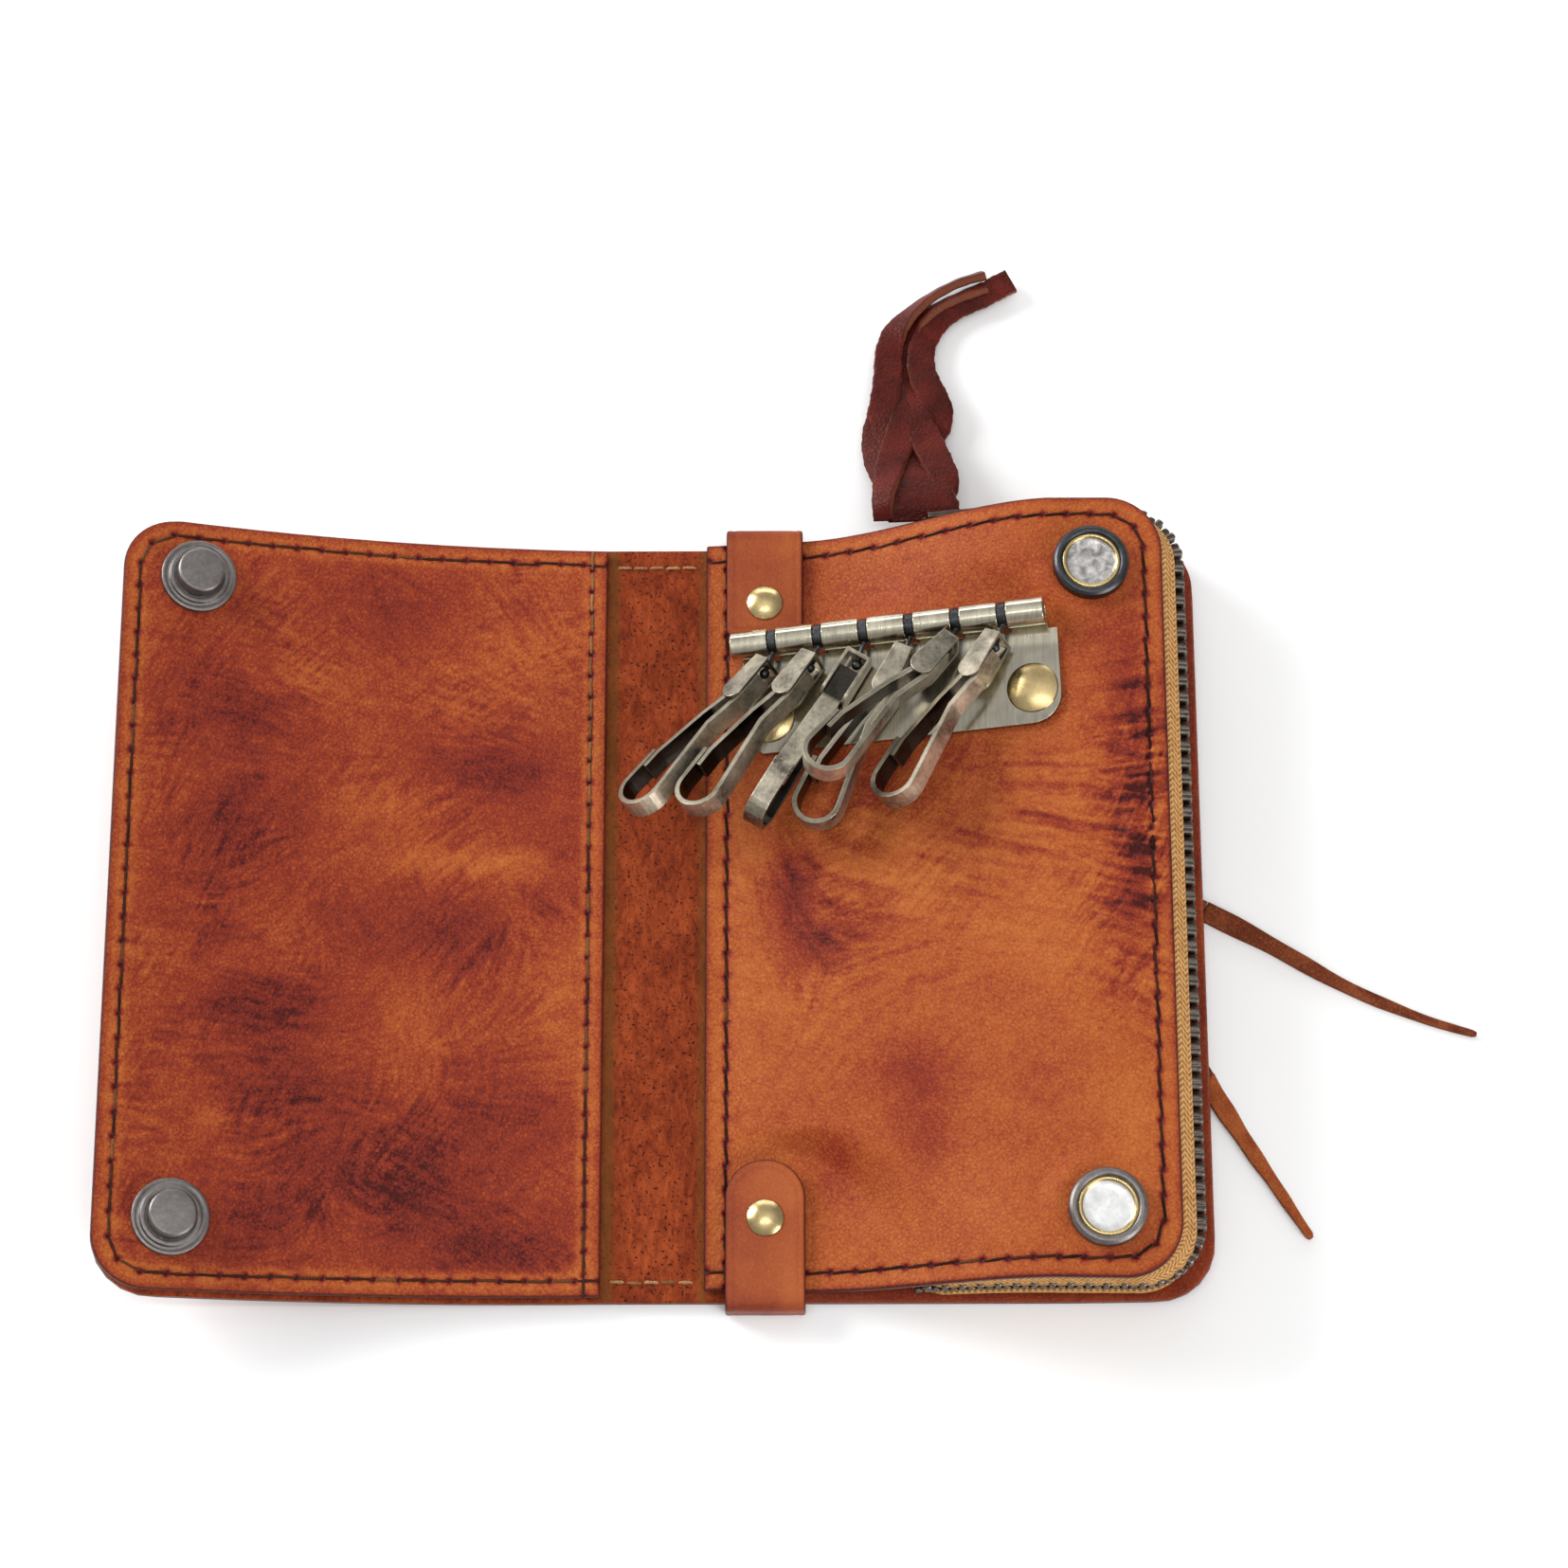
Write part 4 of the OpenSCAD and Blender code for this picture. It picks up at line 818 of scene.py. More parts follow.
def outside_marks(X, Y, seed):
    c = flow_noise(X, Y, [(0, 0, 20, 60), (40, 40, -30, 30), (-40, -40, 60, 30), (40, -40, 10, 30)], 1.5, 9,
                   seed)
    s = 0.28 + 0.5 * fbm(X / 22, Y / 22, seed + 5, 4)
    return c, s


cl_len = (-flap_x1) / 2
cl_mid = cl_len
def open_side(X, Y, D, a, b):
    """Distance to the edge when the left side is a seam inside one piece of leather."""
    return np.where(X + a < D + 0.02, b - np.abs(Y), D)


X, Y, D = ring_grid(cl_len, half_h, (0, corner_r, corner_r, 0), 0.75, EDGES[:8])
D = open_side(X, Y, D, cl_len, half_h)
cl_u = X + cl_mid
low_c, low_s = outside_marks(cl_u, Y, 11)
tone_top = 0.42 + 0.25 * fbm(cl_u / 9, Y / 9, 5)
band = np.clip(1 - np.abs(cl_u - 7.0) / 1.3, 0, 1) * 0.75
cover_left = slab("cover_left", X, Y, D, cover_left_place, cover_t, 0.45, 0.05 * fbm(cl_u / 1.5, Y / 1.5, 9, 3),
                  [SUEDE, OUTSIDE, EDGE],
                  {"stain": (tone_top, low_s), "shaded_crease": (0 * X, low_c * 0.6),
                   "rim": (0 * X, 0.8 * smooth((0.5 - D) / 0.5)),
                   "band": (band, 0 * X)},
                  flip=True, low_relief=0.05 * np.clip(low_c, 0, 3) * smooth((D - 0.5) / 2))
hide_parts("cover_flap", "cover_spine")
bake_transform(cover_left)

cr_len = cover_reach / 2


def cover_right_place(X, Y, off):
    x = X + cr_len
    w = np.clip(x / cover_reach, 0, 1)
    y = np.where(Y > 0, Y * (1 + 1.4 / half_h * smooth((x - 12) / 60)), Y)
    px, pz = back_pt(x, cover_t + off)
    return px, y, pz


X, Y, D = ring_grid(cr_len, half_h, (0, corner_r, corner_r, 0), 0.75, EDGES[:8])
D = open_side(X, Y, D, cr_len, half_h)
cr_x = X + cr_len
low_c, low_s = outside_marks(cr_x + 100, Y, 23)
tone_top = np.where(cr_x > 12, 0.45 + 0.5 * fbm(cr_x / 6, Y / 6, 15), 0.42 + 0.25 * fbm(-cr_x / 9, Y / 9, 5))
band = np.clip(1 - np.abs(cr_x - 8.0) / 0.9, 0, 1) * 0.75
tab_zone = (np.abs(cr_x - 18.0) < 6.1) & (np.abs(Y) > 46.6)
cover_right = slab("cover_right", X, Y, D, cover_right_place, cover_t, 0.45,
                   0.05 * fbm(cr_x / 1.5, Y / 1.5, 9, 3),
                   [SUEDE, OUTSIDE, EDGE],
                   {"stain": (tone_top, low_s), "shaded_crease": (0 * X, low_c * 0.6),
                    "rim": (0 * X, 0.8 * smooth((0.5 - D) / 0.5)),
                    "band": (band, 0 * X)},
                   low_relief=0.05 * np.clip(low_c, 0, 3) * smooth((D - 0.5) / 2) * ~tab_zone + 0.3 * tab_zone,
                   patch=cr_x > 12)
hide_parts("cover_back")
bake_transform(cover_right)

# ---------------------------------------------------------------- the flap's lining
LIN_IN = 0.7
lin_u0, lin_u1 = 7.9, -flap_x1 - LIN_IN
lin_a = (lin_u1 - lin_u0) / 2
lin_c = (lin_u0 + lin_u1) / 2
lin_b = half_h - LIN_IN


def lining_plan(X, Y):
    u = X + lin_c
    return u, flared(Y, np.clip((u - lin_u0) / (lin_u1 - lin_u0), 0, 1))


def lining_place(X, Y, off):
    u, y = lining_plan(X, Y)
    px, pz = flap_surface(-u, lining_top + off)
    return px, y, pz


def lining_height(x, y):
    return flap_surface(x, lining_top)[1]


X, Y, D = ring_grid(lin_a, lin_b, (0.3, corner_r - LIN_IN, corner_r - LIN_IN, 0.3), 0.27, EDGES)
U, PY = lining_plan(X, Y)
IN = 2.5  # from the edge to the row of stitches
rows_l = [along(row_round(lin_a - IN, lin_b - IN, corner_r - LIN_IN - IN, -lin_a), PITCH),
          along([(-lin_a + 2.55, lin_b + 0.2), (-lin_a + 2.55, -lin_b - 0.2)], 3.7)]
dl, dh = stitch_fields(X, Y, rows_l)
wx, wy = -U, PY
# creases: x, y, direction in degrees, reach
flap_flow = [(-70, 20, 5, 16), (-72, -8, -6, 14), (-70, -30, 4, 13), (-72, -50, -8, 10), (-58, 34, -28, 12),
             (-40, 40, -22, 11),
             (-24, 32, -20, 10), (-47, 4, 52, 12), (-38, 14, 40, 9), (-30, 8, 48, 9), (-56, -12, -40, 9),
             (-45, -14, 48, 10),
             (-22, 20, -8, 8), (-18, 6, -42, 9), (-28, -16, 80, 8), (-22, -26, 12, 10), (-38, -32, -20, 10),
             (-52, -44, 70, 9), (-38, -48, -30, 10), (-18, -44, -40, 10), (-44, 52, 82, 9), (-22, 50, -60, 9),
             (-60, 2, 78, 8)]
amp = np.clip(0.80 + 0.9 * fbm(wx / 14, wy / 14, 31, 3), 0.35, 1.2) * (0.25 + 0.75 * smooth((D - 0.6) / 3.0))
# The crease field dents the lining and is painted into its colour as shade in the valleys.
shaded_crease = np.clip(wrinkles(wx, wy, flap_flow, 3), -2.0, 2.6) * amp
# darker clouds: x, y, half width, half height, strength
flap_dark = [(-68, 33, 11, 9, 0.34), (-43, 52, 10, 7, 0.24), (-66, 14, 13, 7, 0.22), (-26, 24, 11, 5, 0.36),
             (-50, -2, 8, 6, 0.16),
             (-32, -3, 10, 8, 0.28), (-60, -17, 12, 6, 0.36), (-57, -30, 12, 7, 0.30), (-42, -44, 17, 8, 0.34),
             (-24, -55, 10, 6, 0.30), (-63, -52, 10, 7, 0.20), (-70, 2, 10, 9, 0.18), (-24, -33, 12, 5, 0.20),
             (-15, 10, 4, 8, 0.10),
             (-33, 8, 9, 3, -0.22), (-22, 8, 8, 3, -0.20), (-58, 38, 9, 4, -0.16), (-46, 18, 8, 4, -0.18),
             (-16, 45, 9, 8, -0.14),
             (-38, -18, 5, 8, -0.12), (-70, -35, 6, 5, -0.12), (-14, -20, 4, 12, -0.12)]
stain = 0.46 + 1.0 * blobs(wx, wy, flap_dark) + 0.07 * smooth((-20 - wy) / 30) + 0.16 * fbm(wx / 8, wy / 8, 77,
                                                                                            4)
border = smooth((4.6 - D) / 1.6)
stain = stain * (1 - border) + border * (0.24 + 0.22 * smooth((1.7 - D) / 1.4) + 0.16 * fbm(wx / 4, wy / 4, 12,
                                                                                            3))
# Painted shade: the stain darkens along the stitch groove and strongly in the stitch holes.
stain = stain + 0.14 * np.exp(-(dl / 0.45) ** 2) + 0.9 * np.exp(-(dh / 0.55) ** 2)
puck = 0.04 * np.exp(-((dl - 1.4) / 1.0) ** 2) * np.cos(2 * math.pi * dh / PITCH)
relief = stitch_relief(dl, dh) + puck - 0.050 * shaded_crease + 0.10 * fbm(wx / 6, wy / 6, 41, 3) * smooth((D - 1) / 3)
rim = 0.85 * smooth((0.45 - D) / 0.4)
lining = slab("flap_lining_skin", X, Y, D, lining_place, lining_t, 0.42, relief, [LEATHER, SUEDE, EDGE],
              marks((stain, 0.4), (shaded_crease, 0 * X), (rim, 0 * X), (0 * X, 0 * X)), flip=True)
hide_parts("flap_lining")
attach(lining, "flap")


def lin_world(r):
    u, y = lining_plan(r[:, 0], r[:, 1])
    return np.stack([-u, y], -1)


def flap_tone(x, y):
    return 0.42 if (x < -78 and y > 50) or (x < -80 and y < -38) else 0.26


flap_thread = thread_mesh("flap_thread", [lin_world(rows_l[0])], lining_height, [flap_tone])
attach(flap_thread, "flap")
root_thread = thread_mesh("flap_root_thread", [lin_world(rows_l[1])], lining_height,
                          [lambda x, y: 0.72 if y > 20 else 0.42], seed=5)
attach(root_thread, "flap")

# tan rows that cross the spine
spine_rows = [along([(-6.6, y), (6.9, y)], 2.9) for y in (half_h - 3.2, -half_h + 3.2)]
spine_thread = thread_mesh("spine_thread", spine_rows, lambda x, y: cover_t + 0.1, [0.95, 0.95], 0.26, 0.18,
                           0.5, 7)
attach(spine_thread, "spine")

# ---------------------------------------------------------------- the pocket's front
pan_a = (panel_reach - panel_left) / 2
pan_c = (panel_reach + panel_left) / 2
pan_b = half_h


def panel_plan(X, Y):
    x = X + pan_c
    y1, y0 = panel_top_y(x), panel_low_y(x)
    return x, y0 + (y1 - y0) * (Y / pan_b + 1) / 2


def panel_place(X, Y, off):
    x, y = panel_plan(X, Y)
    return x, y, panel_z(x, y) + off


X, Y, D = ring_grid(pan_a, pan_b, (0.3, corner_r, corner_r, 0.3), 0.27, EDGES)
wx, wy = panel_plan(X, Y)
IN = 3.0
rows_p = [along(row_round(pan_a - IN, pan_b - IN, corner_r - IN, -pan_a + 0.3), PITCH),
          along([(-pan_a + 3.4, pan_b - 0.6), (-pan_a + 3.4, -pan_b + 0.6)], PITCH)]
dl, dh = stitch_fields(X, Y, rows_p)
panel_flow = [(14, 0, 90, 7), (18, 10, 88, 7), (17, -18, 92, 7), (30, 22, -20, 10), (40, 14, -24, 10),
              (55, 20, -14, 10),
              (48, 2, -22, 9), (62, 34, 8, 9), (74, 30, 14, 8), (76, 12, -4, 8), (74, -6, -18, 8),
              (76, -20, -30, 8), (60, 4, -18, 8),
              (26, 8, -40, 7), (22, -12, -55, 7), (32, -20, 32, 9), (44, -10, 15, 9), (24, -30, 60, 9),
              (55, -30, 50, 10),
              (40, -44, 30, 10), (65, -40, 60, 10), (20, 40, 70, 9), (40, 52, 10, 12), (60, 54, 5, 12)]
amp = blobs(wx, wy, [(76, 8, 12, 26, 1.25), (52, 12, 20, 16, 0.8), (30, 4, 12, 16, 0.75), (26, -14, 9, 10, 0.6),
                     (16, 0, 4, 24, 0.35)])
amp = amp + 1.1 * smooth((wx - 71) / 5) * blobs(wx, wy, [(78, 12, 30, 26, 1.0)])
amp = (0.16 + np.clip(amp, 0, 2.0)) * (0.45 + 0.55 * smooth((D - 0.3) / 1.0))
folds = np.clip(flow_noise(wx, wy, panel_flow, 1.1, 5.0, 203), -0.3, 2.4) * blobs(
    wx, wy, [(78, 12, 7, 26, 1.15), (60, 14, 14, 14, 0.6), (31, 2, 8, 13, 0.55), (44, -10, 14, 12, 0.3)])
# The crease field dents the pocket and is painted into its colour as shade in the valleys.
shaded_crease = np.clip(wrinkles(wx, wy, panel_flow, 13), -2.0, 2.6) * amp + 1.3 * folds
panel_dark = [(22, 4, 5, 7, 0.42), (27, -6, 6, 5, 0.32), (39, 18, 9, 3, 0.18), (34, 24, 16, 3, 0.16),
              (75, 30, 4, 12, 0.22), (76, 10, 3.5, 8, 0.34),
              (75, -2, 3.5, 8, 0.34), (78.5, 14, 3, 24, 0.34), (42, -28, 8, 5, 0.26), (43, -38, 5, 7, 0.24),
              (29, -42, 4, 6, 0.20), (60, -30, 6, 6, 0.10),
              (22, 59, 4, 4, 0.40), (74, 42, 7, 6, 0.14), (45, 54, 22, 6, 0.12), (60, 26, 12, 8, 0.05),
              (16, 0, 4, 30, -0.10), (40, 5, 16, 8, -0.12), (62, -6, 10, 8, -0.10), (74, -38, 5, 10, -0.14),
              (68, -21, 3, 3, -0.10), (32, 12, 6, 5, -0.08)]
# The folds also darken the stain: painted shade in the folds.
stain = 0.27 + 1.1 * blobs(wx, wy, panel_dark) + 0.17 * folds + 0.13 * fbm(wx / 8, wy / 8, 177, 4)
border = smooth((4.4 - D) / 1.6)
stain = stain * (1 - border) + border * (0.20 + 0.25 * smooth((1.5 - D) / 1.3) + 0.14 * fbm(wx / 4, wy / 4, 112,
                                                                                            3) + 0.25 * blobs(wx, wy, [(80, 16, 4, 22, 1.0)]))
# Painted shade: the stain darkens along the stitch groove and strongly in the stitch holes.
stain = stain + 0.18 * np.exp(-(dl / 0.45) ** 2) + 0.9 * np.exp(-(dh / 0.6) ** 2)
puck = 0.05 * np.exp(-((dl - 1.4) / 1.0) ** 2) * np.cos(2 * math.pi * dh / PITCH)
sag = blobs(wx, wy, [(42, -34, 9, 8, -0.5), (30, -44, 8, 6, -0.3), (66, -24, 4, 9, 0.3), (52, -48, 10, 5, 0.35),
                     (24, -6, 5, 12, -0.35)])
clear = smooth((np.minimum(np.hypot(wx - socket_p[0], wy - snap_up),
                           np.hypot(wx - socket_p[0], wy + snap_low)) - 6.6) / 2)
under_rail = 1 - np.clip(blobs(wx, wy, [(38, 36, 30, 9, 1.3)]), 0, 1) * (wy > 22)
relief = (stitch_relief(dl, dh) + puck - 0.065 * shaded_crease + (0.10 * fbm(wx / 6, wy / 6, 141,
                                                                      3) + sag * 0.7) * smooth((D - 1) / 3)) * clear
relief = np.where(relief > 0, relief * under_rail, relief)
rim = 0.9 * smooth((0.6 - D) / 0.5)
panel = slab("pocket_skin", X, Y, D, panel_place, panel_t, 0.5, relief, [LEATHER, SUEDE, EDGE],
             marks((stain, 0.45), (shaded_crease, 0 * X), (rim, 0 * X), (0 * X, 0 * X)))
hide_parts("pocket_front")
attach(panel, "pocket")


def pan_world(r):
    x, y = panel_plan(r[:, 0], r[:, 1])
    return np.stack([x, y], -1)


pocket_thread = thread_mesh("pocket_thread", [pan_world(r) for r in rows_p],
                            lambda x, y: panel_z(np.array(x), np.array(y)), [0.12, 0.12], seed=15, skew=0.35)
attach(pocket_thread, "pocket")

# ---------------------------------------------------------------- tabs
tab_x, tab_w, tab_t = 11.7, 12.6, 1.5


def tab_piece(name, way, edge, end_y, radius, seed):
    """A strap that runs on the pocket, over its edge and back under the cover."""
    z_top = panel_top_z + 0.1 + tab_t
    R = 1.5  # of the bend over the edge
    # upper face's middle line, from the end on the pocket to the end under the case
    pts = [(end_y, z_top), (edge + tab_t - R, z_top)]
    pts += [(edge + tab_t - R + R * math.cos(t), z_top - R + R * math.sin(t)) for t in np.linspace(math.pi / 2,
                                                                                                   0, 8)[1:]]
    pts += [(edge + tab_t, 0.04 + R * 0.7)]
    pts += [(edge + tab_t - 0.7 * R + 0.7 * R * math.cos(t), 0.04 + 0.7 * R + 0.7 * R * math.sin(t)) for t in np.linspace(0, -math.pi / 2, 7)[1:]]
    pts += [(half_h - 17, 0.04)]
    p = np.array(pts)
    run = run_of(p)
    a, b = tab_w / 2, run[-1] / 2
    X, Y, D = ring_grid(a, b, (0.8, 0.8, radius, radius), 0.45, EDGES[:9])
    # Y = +b is the end on the pocket
    s = b - Y

    def place(X, Y, off):
        s = b - Y
        y = np.interp(s, run, p[:, 0])
        z = np.interp(s, run, p[:, 1])
        e = 0.05
        dy = np.interp(s + e, run, p[:, 0]) - np.interp(s - e, run, p[:, 0])
        dz = np.interp(s + e, run, p[:, 1]) - np.interp(s - e, run, p[:, 1])
        n = np.hypot(dy, dz) + 1e-9
        ny, nz = -dz / n, dy / n
        return X + tab_x + a, way * (y + ny * off), z + nz * off

    leg_start = run[-2]
    t = np.where(s > leg_start - 2, 1.5 - 0.65 * smooth((s - leg_start + 2) / 3), 1.5)
    wob = 0.06 * fbm((X + seed) / 4, Y / 4, seed, 3)
    crease_line = np.exp(-((D - 1.35) / 0.22) ** 2)
    st = 0.26 + 0.55 * fbm((X + seed) / 6, Y / 9, seed + 3, 4) + 0.20 * crease_line + 0.22 * smooth((0.9 - D) / 0.8)
    # Painted shade: the strap darkens from its bend over the edge on, where it turns down and runs under the cover;
    # it also darkens towards lower x.
    st = st + 0.30 * smooth((s - run[1] + 2) / 4) + 0.12 * np.clip(-X / a, -1, 1)
    rel = wob - 0.10 * crease_line
    ob = slab(name, X, Y, D, place, t, 0.45, rel, [TAB, SUEDE, EDGE],
              marks((st, 0.4), (0 * X, 0 * X), (smooth((0.35 - D) / 0.3), 0 * X), (0 * X, 0 * X)),
              flip=way < 0)
    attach(ob, "pocket")
    return ob


up_edge = float(panel_top_y(np.array(tab_x + tab_w))) + 0.15
tab_u = tab_piece("upper_tab_skin", 1, up_edge, 46.9, 0.9, 61)
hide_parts("upper_tab")
tab_l = tab_piece("lower_tab_skin", -1, half_h + 0.35, 41.0, 6.2, 67)
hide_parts("lower_tab")

# ---------------------------------------------------------------- zip
slider_x, chain_slope, chain_z0 = 49.5, 0.125, 6.8
chain_x1 = panel_reach + 2.8
chain_y1 = float(panel_top_y(np.array(panel_reach))) - 0.4
chain_y0 = float(panel_low_y(np.array(panel_reach))) + 0.4
chain_r = 9.0


def back_top(x):
    return inner_z + (np.maximum(0, x - BACK_FLAT) ** 2) / (2 * BACK_CURL_R)


def low_z(x, y):
    return (back_top(x) + panel_z(np.minimum(x, panel_reach), y) - panel_t) / 2


side_z = float(low_z(np.array(panel_reach), np.array(0.0)))


def chain_points():
    """The zip's chain as rows of x, y, z and outward normal."""
    out = []
    n = 24
    for i in range(n + 1):
        x = 42.4 + (chain_x1 - chain_r - 42.4) * i / n
        out.append((x, float(panel_top_y(np.array(x))) - 0.4,
                    min(side_z, chain_z0 + (x - slider_x) * chain_slope), 0, 1))
    for i in range(1, 13):
        a = (90 - 7.5 * i) * RAD
        out.append((chain_x1 - chain_r + chain_r * math.cos(a), chain_y1 - chain_r + chain_r * math.sin(a),
                    side_z, math.cos(a), math.sin(a)))
    n = 60
    for i in range(1, n):
        out.append((chain_x1, chain_y1 - chain_r + (chain_y0 - chain_y1 + 2 * chain_r) * i / n, side_z, 1, 0))
    for i in range(0, 13):
        a = -7.5 * i * RAD
        out.append((chain_x1 - chain_r + chain_r * math.cos(a), chain_y0 + chain_r + chain_r * math.sin(a),
                    side_z, math.cos(a), math.sin(a)))
    n = 30
    for i in range(1, n + 1):
        x = chain_x1 - chain_r + (38 - chain_x1 + chain_r) * i / n
        y = float(panel_low_y(np.array(x))) + 0.4
        out.append((x, y, float(low_z(np.array(x), np.array(y + 1.2))), 0, -1))
    return np.array(out)


chain = chain_points()
chain_run = run_of(chain[:, :3])


def tape(name, way):
    """One tape: it stands up from the teeth, then runs in to its seam, woven in a herringbone."""
    rows = []
    w_of = []
    for c in chain:
        x, y, z, nx, ny = c
        if way > 0:
            s = (4.4 * nx + (2.6 if ny > 0 else 1.2) * (1 - nx)) if nx > 0 else (2.6 if ny > 0 else 1.2)
            px, py = min(x - nx * s, panel_reach - 1), y - ny * s
            seam = float(panel_z(np.array(px), np.array(py))) - panel_t - 0.25
        else:
            s = 3.6 if ny > 0.5 else 1.0
            seam = float(back_top(np.array(x))) + 0.25
        low_side = max(0.0, -ny)
        edge = (1 - low_side) * -0.35 + low_side * (-0.1 if way > 0 else 0.55) - 2.4 * low_side * smooth((46 - x) / 7)
        z0 = z + way * 0.55
        zm = min(z + 2.8, seam - 0.15) if way > 0 else max(z - 2.8, seam + 0.15)
        m = 13
        line = []
        for k in range(m):
            f = k / (m - 1)
            if f < 0.5:
                o, zz = edge - 0.5 * f, z0 + (zm - z0) * f * 2
            else:
                g = (f - 0.5) * 2
                o, zz = (edge - 0.25) * (1 - g) - s * g + 0.25 * math.sin(math.pi * g), zm + (seam - zm) * g
            line.append((x + nx * (o + 0.25), y + ny * (o + 0.25), zz))
        inner = [(q[0] - nx * 0.6, q[1] - ny * 0.6, q[2]) for q in line]
        ring = line + inner[::-1]
        rows.append(ring)
        L = np.cumsum([0] + [math.dist(line[i], line[i + 1]) for i in range(m - 1)])
        w_of.append(list(L) + list(L[::-1]))
    R = np.array(rows)
    n, m = R.shape[:2]
    idx = np.arange(n * m).reshape(n, m)
    nxt = np.roll(idx, -1, axis=1)
    q = np.stack([idx[:-1], idx[1:], nxt[1:], nxt[:-1]], -1).reshape(-1, 4)
    if way > 0:
        q = q[:, ::-1]
    caps = np.array([list(idx[0]), list(idx[-1][::-1])]) if way > 0 else np.array([list(idx[0][::-1]),
                                                                                   list(idx[-1])])
    ob = build(name, R.reshape(-1, 3), [q, caps], {"run": np.repeat(chain_run, m),
                                                   "across": np.array(w_of).ravel()}, [TAPE])
    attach(ob, "pocket")
    return ob


def tape_mat():
    m, nt, b = new_mat("tape_weave")
    run, across = attr(nt, "run"), attr(nt, "across")
    # herringbone: the slant turns over every 1.5 mm across the tape
    cell = math_n(nt, "PINGPONG", across, 1.5)
    slant = math_n(nt, "MULTIPLY_ADD", cell, 0.9, run)
    wave = math_n(nt, "SINE", math_n(nt, "MULTIPLY", slant, 2 * math.pi / 0.95))
    cord = math_n(nt, "SINE", math_n(nt, "MULTIPLY", across, 2 * math.pi / 0.75))
    v = coords(nt)
    n = noise(nt, v, 700, 4, 0.6)
    f = math_n(nt, "MULTIPLY_ADD", wave, 0.26, math_n(nt, "MULTIPLY_ADD", cord, 0.10,
                                                      math_n(nt, "MULTIPLY_ADD", math_n(nt, "SUBTRACT", n, 0.5),
                                                             0.7, 0.5)))
    col = ramp(nt, f, [(0.1, (0.25, 0.105, 0.030)), (0.5, (0.55, 0.28, 0.095)), (0.9, (0.74, 0.44, 0.19))])
    nt.links.new(col, b.inputs["Base Color"])
    nt.links.new(bump(nt, f, 0.8, 0.0004), b.inputs["Normal"])
    b.inputs["Roughness"].default_value = 0.9
    b.inputs["Specular IOR Level"].default_value = 0.08
    return m


TAPE = tape_mat()
tape_up = tape("zip_tape_upper_weave", 1)
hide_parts("zip_tape_upper")
tape_lo = tape("zip_tape_lower_weave", -1)
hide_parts("zip_tape_lower")


def tooth_points():
    """One tooth: a waisted block with a rounded head; x outward, y along the chain, z to its tape."""
    prof = [(-0.45, 0.55), (-0.38, 0.62), (0.05, 0.62), (0.35, 0.42), (0.75, 0.40), (1.1, 0.60), (1.55, 0.62),
            (1.75, 0.45)]
    rings = []
    for zz, hw in prof:
        ring = []
        for k in range(16):
            a = 2 * math.pi * k / 16
            cx = squared(math.cos(a), 0.45) * (1.2 if zz < 0.2 else 1.12)
            cy = squared(math.sin(a), 0.45) * hw
            ring.append((cx * (0.92 if zz in (-0.45, 1.75) else 1), cy, zz))
        rings.append(ring)
    return np.array(rings)


def teeth(name, way, shift):
    base = tooth_points()
    n_r, n_s = base.shape[:2]
    count = int(chain_run[-1] // TOOTH_PITCH) - 1
    co, faces = [], []
    quads = []
    for i in range(n_r - 1):
        for k in range(n_s):
            quads.append((i * n_s + k, i * n_s + (k + 1) % n_s, (i + 1) * n_s + (k + 1) % n_s,
                          (i + 1) * n_s + k))
    quads = np.array(quads)
    # end caps as rings of quads
    cap = []
    for r0, rev in ((0, True), ((n_r - 1) * n_s, False)):
        for k in range(n_s // 2 - 1):
            q = (r0 + k, r0 + k + 1, r0 + n_s - 2 - k, r0 + n_s - 1 - k)
            cap.append(q[::-1] if rev else q)
    quads = np.concatenate([quads, np.array(cap)])
    if way < 0:
        quads = quads[:, ::-1]
    for i in range(count):
        l = (i + shift) * TOOTH_PITCH
        c = np.array([np.interp(l, chain_run, chain[:, j]) for j in range(5)])
        nrm = np.array([c[3], c[4]]) / (np.hypot(c[3], c[4]) + 1e-9)
        tan = np.array([-nrm[1], nrm[0]])
        p = base.reshape(-1, 3)
        out = p[:, 0] + 0.25 - 0.9 * max(0.0, -nrm[1])
        x = c[0] + nrm[0] * out + tan[0] * p[:, 1]
        y = c[1] + nrm[1] * out + tan[1] * p[:, 1]
        z = c[2] + way * (p[:, 2] * 0.95 + 0.10)
        faces.append(quads + len(co) * len(p))
        co.append(np.stack([x, y, z], -1))
    ob = build(name, np.concatenate(co), np.concatenate(faces), None, [NICKEL])
    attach(ob, "pocket")
    return ob


teeth_u = teeth("zip_teeth_upper_cast", 1, 0.5)
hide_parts("zip_teeth_upper")
teeth_l = teeth("zip_teeth_lower_cast", -1, 1.0)
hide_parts("zip_teeth_lower")


